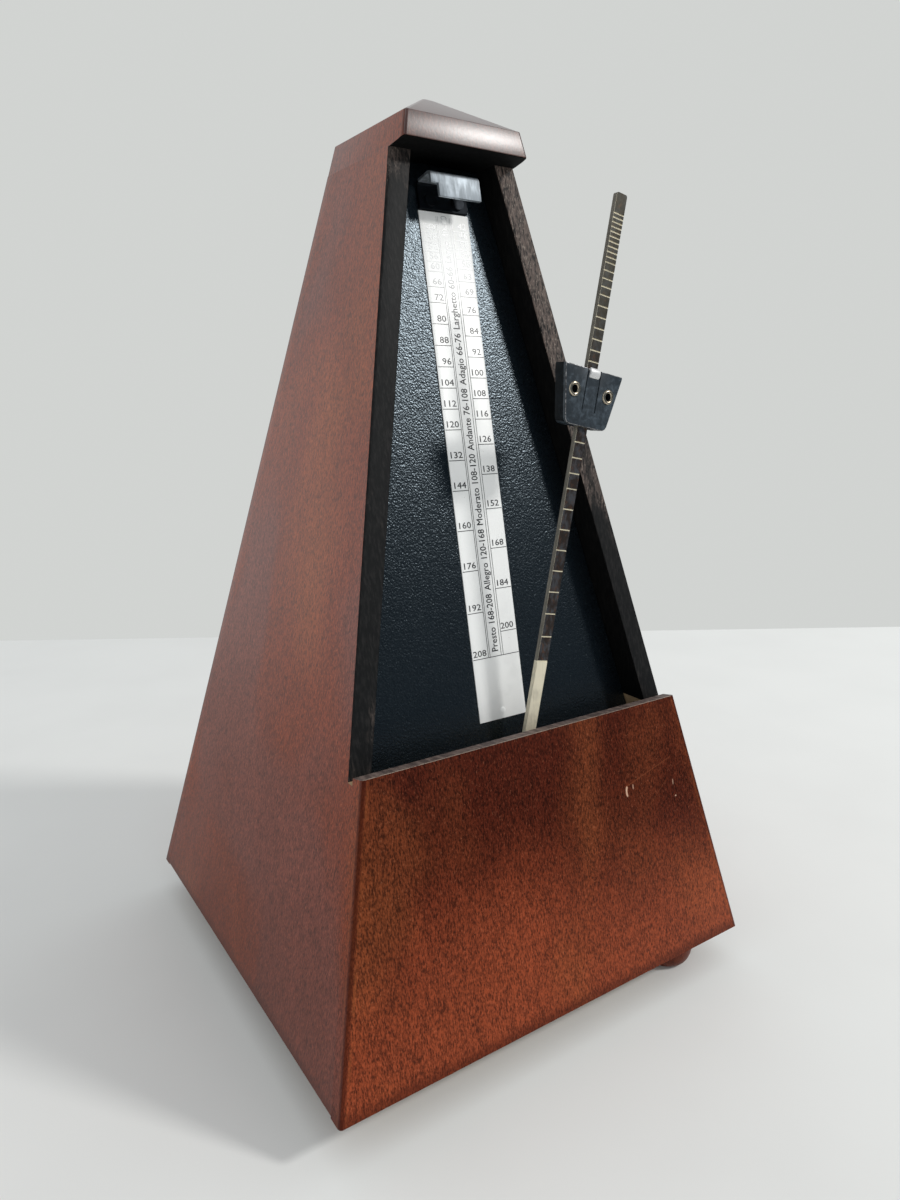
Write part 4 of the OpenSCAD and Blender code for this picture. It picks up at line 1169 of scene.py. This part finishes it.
def lettering(name, text, height, narrow, place, align, weight):
    """Text as a mesh on the X-Z plane, its capitals a height tall; drawn large to fill well."""
    bpy.ops.object.select_all(action="DESELECT")
    bpy.ops.object.text_add()
    obj = added(name)
    obj.data.body = text
    obj.data.size = height / CAPITAL / MM
    obj.data.align_x = align
    obj.data.resolution_u = 2
    bpy.ops.object.convert(target="CURVE")
    drop_short_steps(bpy.context.object)
    bpy.context.object.data.offset = weight / MM
    bpy.ops.object.convert(target="MESH")
    size = Matrix.Diagonal((narrow * MM, MM, MM, 1))
    return settle(bpy.context.object, place @ TO_FRONT @ size)


def ruled(x0, x1, z0, z1):
    """A printed line as a thin flat strip on the X-Z plane."""
    bpy.ops.object.select_all(action="DESELECT")
    bpy.ops.mesh.primitive_plane_add(size=1, rotation=(math.radians(90), 0, 0),
                                     location=((x0 + x1) / 2, 0, (z0 + z1) / 2))
    obj = added("rule")
    obj.scale = (x1 - x0, z1 - z0, 1)
    return settle(obj)


def print_scale(dial, half, top):
    """The lines, numbers and words of the scale, flat, as one mesh."""
    line, edge = dial.line_w, half - 0.15 * MM
    left_in, left_out = -half * 0.335, -half * 0.27
    right_out, right_in = half * 0.21, half * 0.30
    number_gap, number_edge = 0.45 * MM, 0.8 * MM
    number_rise, number_top = 0.6 * MM, top - 1.4 * MM
    word_start, word_gap = 1.1 * MM, 0.9 * MM
    foot = scale_mark(TEMPOS[-1]) * MM

    printed = [ruled(x - line * 0.4, x + line * 0.4, foot, top)
               for x in (left_in, left_out, right_out, right_in)]
    for i, beats in enumerate(TEMPOS):
        z = scale_mark(beats) * MM
        on_left = i % 2 == 0
        x0 = right_in if not on_left and beats != TEMPOS[-1] else -edge
        x1 = left_in if on_left and beats != TEMPOS[-1] else edge
        printed.append(ruled(x0, x1, z - line / 2, z + line / 2))
        right = left_in - number_gap if on_left else half - number_edge
        if z + dial.digit_h < number_top:
            printed.append(lettering("number", str(beats), dial.digit_h, 1.25,
                                     moved(right, 0, z + number_rise), "RIGHT", 0.015 * MM))
    z = foot + word_start
    x = (left_out + right_out + dial.word_h) / 2
    for words in WORDS:
        word = lettering("word", words, dial.word_h, 0.89,
                         moved(x, 0, z) @ Matrix.Rotation(math.radians(-90), 4, "Y"),
                         "LEFT", 0.022 * MM)
        z = max(v.co.z for v in word.data.vertices) + word_gap
        printed.append(word)
    return join("scale_print", printed)


class METRONOME_OT_dial(bpy.types.Operator):
    """The tempo scale with its printed lines, numbers and words, and its pins"""

    bl_idname = "metronome.dial"
    bl_label = "Tempo scale"

    def execute(self, context):
        dial = context.scene.metronome_dial
        low, high = along("scale_strip", ON_FRONT)
        half, back = high.x, high.y
        thick, seat, parts = 0.3 * MM, 0.12 * MM, 6
        arc = [(half * i / parts, back - seat - dial.camber * (1 - (i / parts) ** 2))
               for i in range(-parts, parts + 1)]
        strip = sheet("scale_sheet", [(x, y, low.z) for x, y in arc],
                      (0, 0, high.z - low.z), thick)
        break_edges(strip, 0.08 * MM, 2, 60)

        marks = print_scale(dial, half, high.z - MM)
        for x, _ in arc[1:-1]:
            score(marks, (x, 0, 0), (1, 0, 0))
        settle(marks, moved(0, back - 3 * MM, 0))
        modify(marks, "SHRINKWRAP", target=strip, wrap_method="PROJECT",
               use_project_x=False, use_project_y=True, use_project_z=False,
               use_positive_direction=True, use_negative_direction=True,
               offset=0.03 * MM)
        dress(strip, "case", [enamel()], ["scale_strip"], place=ON_FRONT)
        dress(marks, "case", [ink()], place=ON_FRONT)

        shank, depth = 0.5 * MM, 2 * MM
        head = [(0.8 * MM, 0), (0.66 * MM, 0.07 * MM), (0.35 * MM, 0.11 * MM), (0, 0.12 * MM)]
        pin = turned("pin", [(0, -depth), (shank, -depth), (shank, 0), *head], None, 24)
        face = back - seat - dial.camber - thick / 2
        places = [moved(0, face, z) @ TO_FRONT for z in (low.z + depth, high.z - depth)]
        dress(join("scale_pins", copies(pin, places)), "case", [enamel()],
              ["strip_pins"], place=ON_FRONT)
        return {"FINISHED"}


class METRONOME_OT_clip(bpy.types.Operator):
    """The bent aluminium clip that parks the rod"""

    bl_idname = "metronome.clip"
    bl_label = "Rod clip"

    def execute(self, context):
        low, high = along("rod_clip", ON_FRONT)
        thick, bend, tab = 0.8 * MM, 0.9 * MM, 6 * MM
        notch_w, notch_h = 2 * MM, 3 * MM
        back_y, front_y, top_z = high.y - thick / 2, low.y + thick / 2, high.z - thick / 2

        def corner(y, z, start):
            return [(high.x, y + bend * math.cos(math.radians(a)),
                     z + bend * math.sin(math.radians(a)))
                    for a in range(start, start + 91, 30)]

        clip = sheet("clip_sheet", [
            (high.x, back_y, low.z), *corner(back_y - bend, top_z - bend, 0),
            *corner(front_y + bend, top_z - bend, 90), (high.x, front_y, high.z - tab)],
            (low.x - high.x, 0, 0), thick)
        subtract(clip, block("notch", (low.x - MM, low.y - MM, high.z - tab - MM),
                             (low.x + notch_w, low.y + 2 * MM, high.z - tab + notch_h)))
        edit(clip)
        face_out()
        break_edges(clip, 0.12 * MM, 2, 50)
        # The faces near the back, the flange, take the darkened aluminium: painted shade.
        dress(clip, "case", [aluminium(), dull_aluminium()],
              ["rod_clip"], lambda face: face.center.y > back_y - 1.5 * MM, ON_FRONT)
        return {"FINISHED"}


# ---- Pendulum and weight ---------------------------------------------------


class METRONOME_OT_pendulum(bpy.types.Operator):
    """The rod with its tempo cuts"""

    bl_idname = "metronome.pendulum"
    bl_label = "Pendulum rod"

    def execute(self, context):
        pendulum = context.scene.metronome_pendulum
        low, high = along("pendulum_rod", ON_PENDULUM)
        thick, top = high.y, high.z
        half, tip_r, edge_r = 1.6 * MM, 0.5 * MM, 0.16 * MM
        eye_r, eye_top, axle_r = 3.5 * MM, 4 * MM, 1.3 * MM
        bar = block("rod_bar", (-half, 0, low.z), (half, thick, top))
        ease(bar, tip_r, lambda a, b: min(a.z, b.z) > top - 0.1 * MM
             and abs(a.x - b.x) < 0.1 * MM, 5)
        ease(bar, edge_r, lambda a, b: abs(a.z - b.z) > 100 * MM, 2)

        w, depth = pendulum.mark_w / 2, pendulum.mark_depth
        notch = block("cut", (-2 * half, -MM, -w), (2 * half, depth, w))
        heights = [rod_mark(beats) * MM for beats in TEMPOS]
        places = [moved(0, 0, z) for z in heights if z < top - 1.5 * MM]
        subtract(bar, join("cuts", copies(notch, places)))
        sunk = 0.02 * MM
        eye = rod("rod_eye", eye_r, (0, sunk, 0), (0, thick - sunk, 0))
        break_edges(eye, 0.14 * MM)
        add_to(bar, eye)
        subtract(bar, rod("axle_hole", axle_r, (0, -thick, 0), (0, 2 * thick, 0)))
        bare_z = heights[-1]
        for z in (bare_z, eye_top):
            score(bar, (0, 0, z), (0, 0, 1))

        def rod_finish(face):
            (_, y, z), normal = face.center, face.normal
            if eye_top < z < bare_z + 0.25 * MM:
                return 1
            if sunk < y < depth + sunk and abs(normal.x) < 0.1:
                return 1
            # The front-left arris takes bright metal: partly wear, partly painted highlight.
            if normal.x < -0.2 and normal.y < -0.2 and z > eye_top:
                return 1
            # The sides take the lighter finish, partly painted reflection.
            return 2 if abs(normal.x) > 0.8 and z > eye_top else 0

        dress(bar, "pendulum", [patina(), bare_metal(), rod_side()],
              ["pendulum_rod"], rod_finish, ON_PENDULUM)
        return {"FINISHED"}


class METRONOME_OT_weight(bpy.types.Operator):
    """The sliding weight: body, cover, spring tongue and eyelets"""

    bl_idname = "metronome.weight"
    bl_label = "Sliding weight"

    def execute(self, context):
        low, high = along("weight_cover", ON_WEIGHT)
        back = along("weight_body", ON_WEIGHT)[1].y
        eyes = along("weight_eyelets", ON_WEIGHT)
        half_top, half_foot, tall = high.x, 6.65 * MM, -low.z
        shoulder, radius = 0.6 * MM, 1.6 * MM
        eye_r, bore, rim = 1.35 * MM, 0.85 * MM, 1.7 * MM
        eye_x, eye_z = eyes[1].x - rim, (eyes[0].z + eyes[1].z) / 2
        slot_w, slot_l = 2.15 * MM, 9.6 * MM
        groove_w, groove_d = 1.7 * MM, 1.3 * MM

        def slab(name, y0, y1):
            """The weight's rounded wedge between two depths."""
            lean = math.atan2(half_top - half_foot, tall - radius - shoulder)
            half = [(half_top, 0), (half_top, -shoulder)]
            for i in range(7):
                a = -lean - (math.pi / 2 - lean) * i / 6
                half.append((half_foot - radius + radius * math.cos(a),
                             -tall + radius + radius * math.sin(a)))
            around = half + [(-x, z) for x, z in reversed(half)]
            return outline(name, [(x, y0, z) for x, z in around], (0, y1 - y0, 0))

        def eye_holes(y0, y1):
            return [rod("hole", eye_r, (x, y0 - MM, eye_z), (x, y1 + MM, eye_z), 32)
                    for x in (-eye_x, eye_x)]

        cover = slab("weight_front", low.y, high.y)
        break_edges(cover, 0.16 * MM, 2, 40)
        subtract(cover, block("slot", (-slot_w, low.y - MM, -slot_l),
                              (slot_w, high.y + MM, MM)), *eye_holes(low.y, high.y))
        body = slab("weight_block", high.y, back)
        ease(body, 0.3 * MM, lambda a, b: min(a.y, b.y) > back - HAIR)
        subtract(body, block("slot", (-groove_w, -MM, -tall - MM), (groove_w, groove_d, MM)),
                 *eye_holes(0, back))
        # The weight's sides take the darker lacquer: painted shade.
        dress(body, "weight", [lacquer(), lacquer_side()],
              ["weight_body"], lambda face: abs(face.normal.x) > 0.6, ON_WEIGHT)
        dress(cover, "weight", [lacquer(), rubbed_edge()], ["weight_cover"],
              lambda face: -0.97 < face.normal.y < -0.15 and face.area < 6 * MM * MM,
              ON_WEIGHT)

        half, leaf_y, leaf_t = 1.85 * MM, low.y + HAIR, 0.45 * MM
        tongue = block("weight_tongue", (-half, leaf_y, -slot_l),
                       (half, leaf_y + leaf_t, -0.5 * MM))
        half = 1.52 * MM
        # The lip's curl from the leaf's face, as depth and height in mm.
        curl = [(-0.55, -2.05), (-0.92, -2.05), (-1.26, -1.80), (-1.48, -1.35), (-1.54, -0.85),
                (-1.46, -0.35), (-1.24, 0.05), (-0.95, 0.28), (-0.60, 0.34)]
        lip = outline("lip", [(-half, y * MM, z * MM) for y, z in curl], (2 * half, 0, 0))
        ease(lip, 0.7 * MM, lambda a, b: min(abs(a.x), abs(b.x)) > half * 0.9
             and abs(a.x - b.x) < half and max(a.y, b.y) < -0.56 * MM, 4)
        add_to(tongue, lip)
        dress(tongue, "weight", [lacquer(), worn_lip()],
              ["weight_spring"], lambda face: face.center.y < leaf_y - HAIR, ON_WEIGHT)

        middle, wide, bulge, inside = (bore + rim) / 2, (rim - bore) / 2, 0.42 * MM, 1.3 * MM
        depth = back - low.y
        turns = [math.pi * i / 8 for i in range(9)]
        profile = [(middle + wide * math.cos(a), bulge * math.sin(a)) for a in turns]
        profile += [(middle - wide * math.cos(a), -depth - bulge * math.sin(a)) for a in turns]
        profile += [(inside, -depth), (inside, 0), profile[0]]
        places = [moved(x, low.y, eye_z) @ TO_FRONT for x in (-eye_x, eye_x)]
        eyelets = join("weight_eyes", copies(turned("eyelet", profile, None, 32), places))
        # The eyelets' bores take the darker lacquer: painted shade.
        dress(eyelets, "weight", [eyelet(), lacquer_side()],
              ["weight_eyelets"], lambda face: abs(face.normal.y) < 0.1, ON_WEIGHT)
        return {"FINISHED"}


# ---- Key and movement ------------------------------------------------------


class METRONOME_OT_key(bpy.types.Operator):
    """The winding key and the escutcheon round its hole"""

    bl_idname = "metronome.key"
    bl_label = "Winding key"

    def execute(self, context):
        inner_x, (_, y, z) = KEY_LOW.x, KEY_AT
        lobe, wing_t, stem_r, chamfer = 7 * MM, 2.2 * MM, 3.7 * MM, 0.4 * MM
        socket_r, socket_l = 2.55 * MM, 6.5 * MM
        mid_x, span = KEY_HIGH.x - lobe, (KEY_HIGH.z - KEY_LOW.z) / 2 - lobe
        stem_l = mid_x - lobe + 1.6 * MM - inner_x
        stem = turned("stem", [
            (0, 0), (stem_r - chamfer, 0), (stem_r, chamfer), (stem_r, stem_l),
            (stem_r * 0.92, stem_l + 0.9 * MM), (stem_r * 0.62, stem_l + 1.5 * MM),
            (0, stem_l + 1.6 * MM)],
            moved(inner_x, y, z) @ Matrix.Rotation(math.radians(90), 4, "Y"), 48)
        # Both wings are one outline, a bar that runs into a lobe at each end. A union of
        # flat solids here lost the stem in some runs, because their faces coincided.
        first, last, steps = -math.acos(0.55), math.pi + math.asin(0.6), 72
        turns = [first + (last - first) * i / steps for i in range(steps + 1)]
        wings = outline("key", [
            (mid_x + lobe * math.cos(turn), y - wing_t / 2,
             z + end * (span + lobe * math.sin(turn)))
            for end, order in ((1, turns), (-1, turns[::-1])) for turn in order],
            (0, wing_t, 0))
        subtract(wings, *[
            rod("hole", lobe * 0.42, (mid_x, y - wing_t, z + side * (span + 0.08 * lobe)),
                (mid_x, y + wing_t, z + side * (span + 0.08 * lobe)), 64)
            for side in (-1, 1)])
        break_edges(wings, 0.45 * MM, 3, 40)
        add_to(wings, stem)
        subtract(wings, rod("socket", socket_r, (inner_x - MM, y, z),
                            (inner_x + socket_l, y, z)))
        dress(wings, "winder", [nickel()], ["winding_key"])

        plate_low, plate_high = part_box("key_escutcheon")
        outer, inner, thick = (plate_high.y - plate_low.y) / 2, KEY_HOLE_R - 0.1 * MM, 0.8 * MM
        profile = [(inner, 0), (outer, 0), (outer, thick * 0.35), (outer - 0.5 * MM, thick * 0.8),
                   (outer - 1.2 * MM, thick), (inner + 0.5 * MM, thick),
                   (inner, thick * 0.6), (inner, 0)]
        seat = moved(half_x(z), y, z) @ Matrix.Rotation(math.pi / 2 - LEAN_X, 4, "Y")
        dress(turned("escutcheon", profile, seat), "case", [nickel()],
              ["key_escutcheon"])
        return {"FINISHED"}


class METRONOME_OT_movement(bpy.types.Operator):
    """Finishes of the clockwork, the bob and the joinery inside"""

    bl_idname = "metronome.movement"
    bl_label = "Movement"

    NODES_OF = {
        raw_wood: ["base_board", "glue_blocks", "plate_battens"],
        grained_plate: ["dial_plate"],
        # The clip's screws take the darkened aluminium: painted shade.
        dull_aluminium: ["clip_screws"],
        steel: ["base_screws", "foot_screws", "pendulum_axle", "bob_rivet", "click",
                "winding_arbor", "ratchet_wheel", "great_wheel_washer", "intermediate_arbor",
                "intermediate_pinion", "escape_arbor", "escape_pinion"],
        zinced: ["movement_chassis", "right_frame_plate"],
        brass: ["chassis_screws", "frame_pillars", "axle_bushes", "rod_hub", "axle_collar",
                "great_wheel", "intermediate_wheel", "escape_wheel"],
        blued: ["pillar_screws", "click_stud", "click_spring", "mainspring",
                "front_pallet", "rear_pallet"],
        iron: ["bob"],
    }

    def execute(self, context):
        for finish, nodes in self.NODES_OF.items():
            for node in nodes:
                for slot in frame["nodes"][node].material_slots:
                    slot.material = finish()
        return {"FINISHED"}


# ---- Stage -----------------------------------------------------------------

# The level way that the camera looks, and how far behind the object the floor goes.
VIEW, FLOOR_END = Vector((0.512, 0.859, 0)), 0.321
EYE_AT = (-120.07 * MM, -191.35 * MM, 153.11 * MM)
EYE_TURN = (76.680, 0.133, -33.627)
LAMP_WAY = Vector((0.565, -0.595, 0.57)).normalized()
LAMP_AIM, LAMP_FAR = Vector((0, 0, 0.11)), 1.4
DIM_ROOM, BRIGHT_ROOM = (0.045, 0.068, 0.090), (0.88, 0.90, 0.90)


def floor_finish(tint):
    """A matt floor with a very soft mottle, darker in front as reflections show it."""
    f = new_finish("floor_paint")
    soft = f.noise(60, 3, 0.5)
    color = f.mix(soft.rise(0.3, 0.8), tint, darker(tint, 0.97))
    x, y, _ = f.split(f.spot())
    in_front = (x * 0.45 - y * 0.89).rise(110, 330)
    ray = f.add("ShaderNodeLightPath", output="Is Glossy Ray")
    color = f.mix(ray * in_front, color, (0.045, 0.06, 0.075))
    return f.show(f.add("ShaderNodeBsdfDiffuse", None, {"Color": color}))


def room_light(world, stage):
    """Even fill light, a plain backdrop, and a room that shines dimly from the front."""
    f = Finish(world, "ShaderNodeOutputWorld")
    x, y, z = f.split(f.add("ShaderNodeTexCoord", output="Generated"))
    behind = (y * 0.89 - x * 0.45 + z * 0.15).rise(-0.55, 0.75)
    camera = f.add("ShaderNodeLightPath", output="Is Camera Ray")
    glossy = f.add("ShaderNodeLightPath", output="Is Glossy Ray")
    fill = darker((0.965, 0.985, 1.0), stage.sky)
    shine = f.mix(glossy, fill, f.mix(behind, DIM_ROOM, BRIGHT_ROOM))
    tint = f.mix(camera, shine, stage.wall)
    f.show(f.add("ShaderNodeBackground", None, {"Color": tint, "Strength": 1.0}))


class METRONOME_OT_stage(bpy.types.Operator):
    """Floor, backdrop, soft light and camera"""

    bl_idname = "metronome.stage"
    bl_label = "Stage"

    def execute(self, context):
        scene = context.scene
        stage = scene.metronome_stage
        bpy.ops.object.select_all(action="DESELECT")
        bpy.ops.mesh.primitive_plane_add(size=6, location=(0, 0, 0))
        floor = settle(added("floor"))
        score(floor, VIEW * FLOOR_END, VIEW, clear_outer=True)
        floor.data.materials.append(floor_finish(stage.floor))

        lamp = bpy.data.lights.new("main_lamp", "AREA")
        lamp.shape, lamp.size, lamp.energy = "DISK", 0.19, stage.lamp
        lamp.color = (1.0, 0.985, 0.96)
        holder = bpy.data.objects.new("main_lamp", lamp)
        scene.collection.objects.link(holder)
        holder.location = LAMP_AIM + LAMP_WAY * LAMP_FAR
        holder.rotation_euler = LAMP_WAY.to_track_quat("Z", "Y").to_euler()

        scene.world = bpy.data.worlds.new("soft_room")
        room_light(scene.world, stage)

        lens = bpy.data.cameras.new("camera")
        lens.lens, lens.sensor_width = 25.154, 36
        lens.clip_start, lens.clip_end = 0.01, 20
        camera = bpy.data.objects.new("camera", lens)
        scene.collection.objects.link(camera)
        camera.location = EYE_AT
        camera.rotation_euler = Euler([math.radians(a) for a in EYE_TURN])
        scene.camera = camera
        scene.view_settings.view_transform = "Standard"
        return {"FINISHED"}


class METRONOME_PT_panel(bpy.types.Panel):
    """Steps and settings of the metronome"""

    bl_idname = "METRONOME_PT_panel"
    bl_label = "Metronome"
    bl_space_type = "VIEW_3D"
    bl_region_type = "UI"
    bl_category = "Metronome"

    def draw(self, context):
        for group, operators in STEPS:
            box = self.layout.box()
            if group:
                settings = getattr(context.scene, group)
                for key in settings.__annotations__:
                    box.prop(settings, key)
            for operator in operators:
                box.operator(operator.bl_idname)


STEPS = [
    ("metronome_stage", [METRONOME_OT_stage]),
    ("metronome_case", [METRONOME_OT_case, METRONOME_OT_cap, METRONOME_OT_feet]),
    ("metronome_dial", [METRONOME_OT_dial, METRONOME_OT_clip]),
    ("metronome_pendulum", [METRONOME_OT_pendulum, METRONOME_OT_weight, METRONOME_OT_key]),
    (None, [METRONOME_OT_movement]),
]
GROUPS = {"metronome_stage": StageSettings, "metronome_case": CaseSettings,
          "metronome_dial": DialSettings, "metronome_pendulum": PendulumSettings}
CLASSES = [*GROUPS.values(), *(o for _, group in STEPS for o in group), METRONOME_PT_panel]


def register():
    for cls in CLASSES:
        bpy.utils.register_class(cls)
    for name, group in GROUPS.items():
        setattr(bpy.types.Scene, name, bpy.props.PointerProperty(type=group))


def unregister():
    for name in GROUPS:
        delattr(bpy.types.Scene, name)
    for cls in reversed(CLASSES):
        bpy.utils.unregister_class(cls)


def main():
    """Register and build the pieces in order."""
    register()
    for _, operators in STEPS:
        for operator in operators:
            group, name = operator.bl_idname.split(".")
            getattr(getattr(bpy.ops, group), name)()


if __name__ == "__main__":
    main()
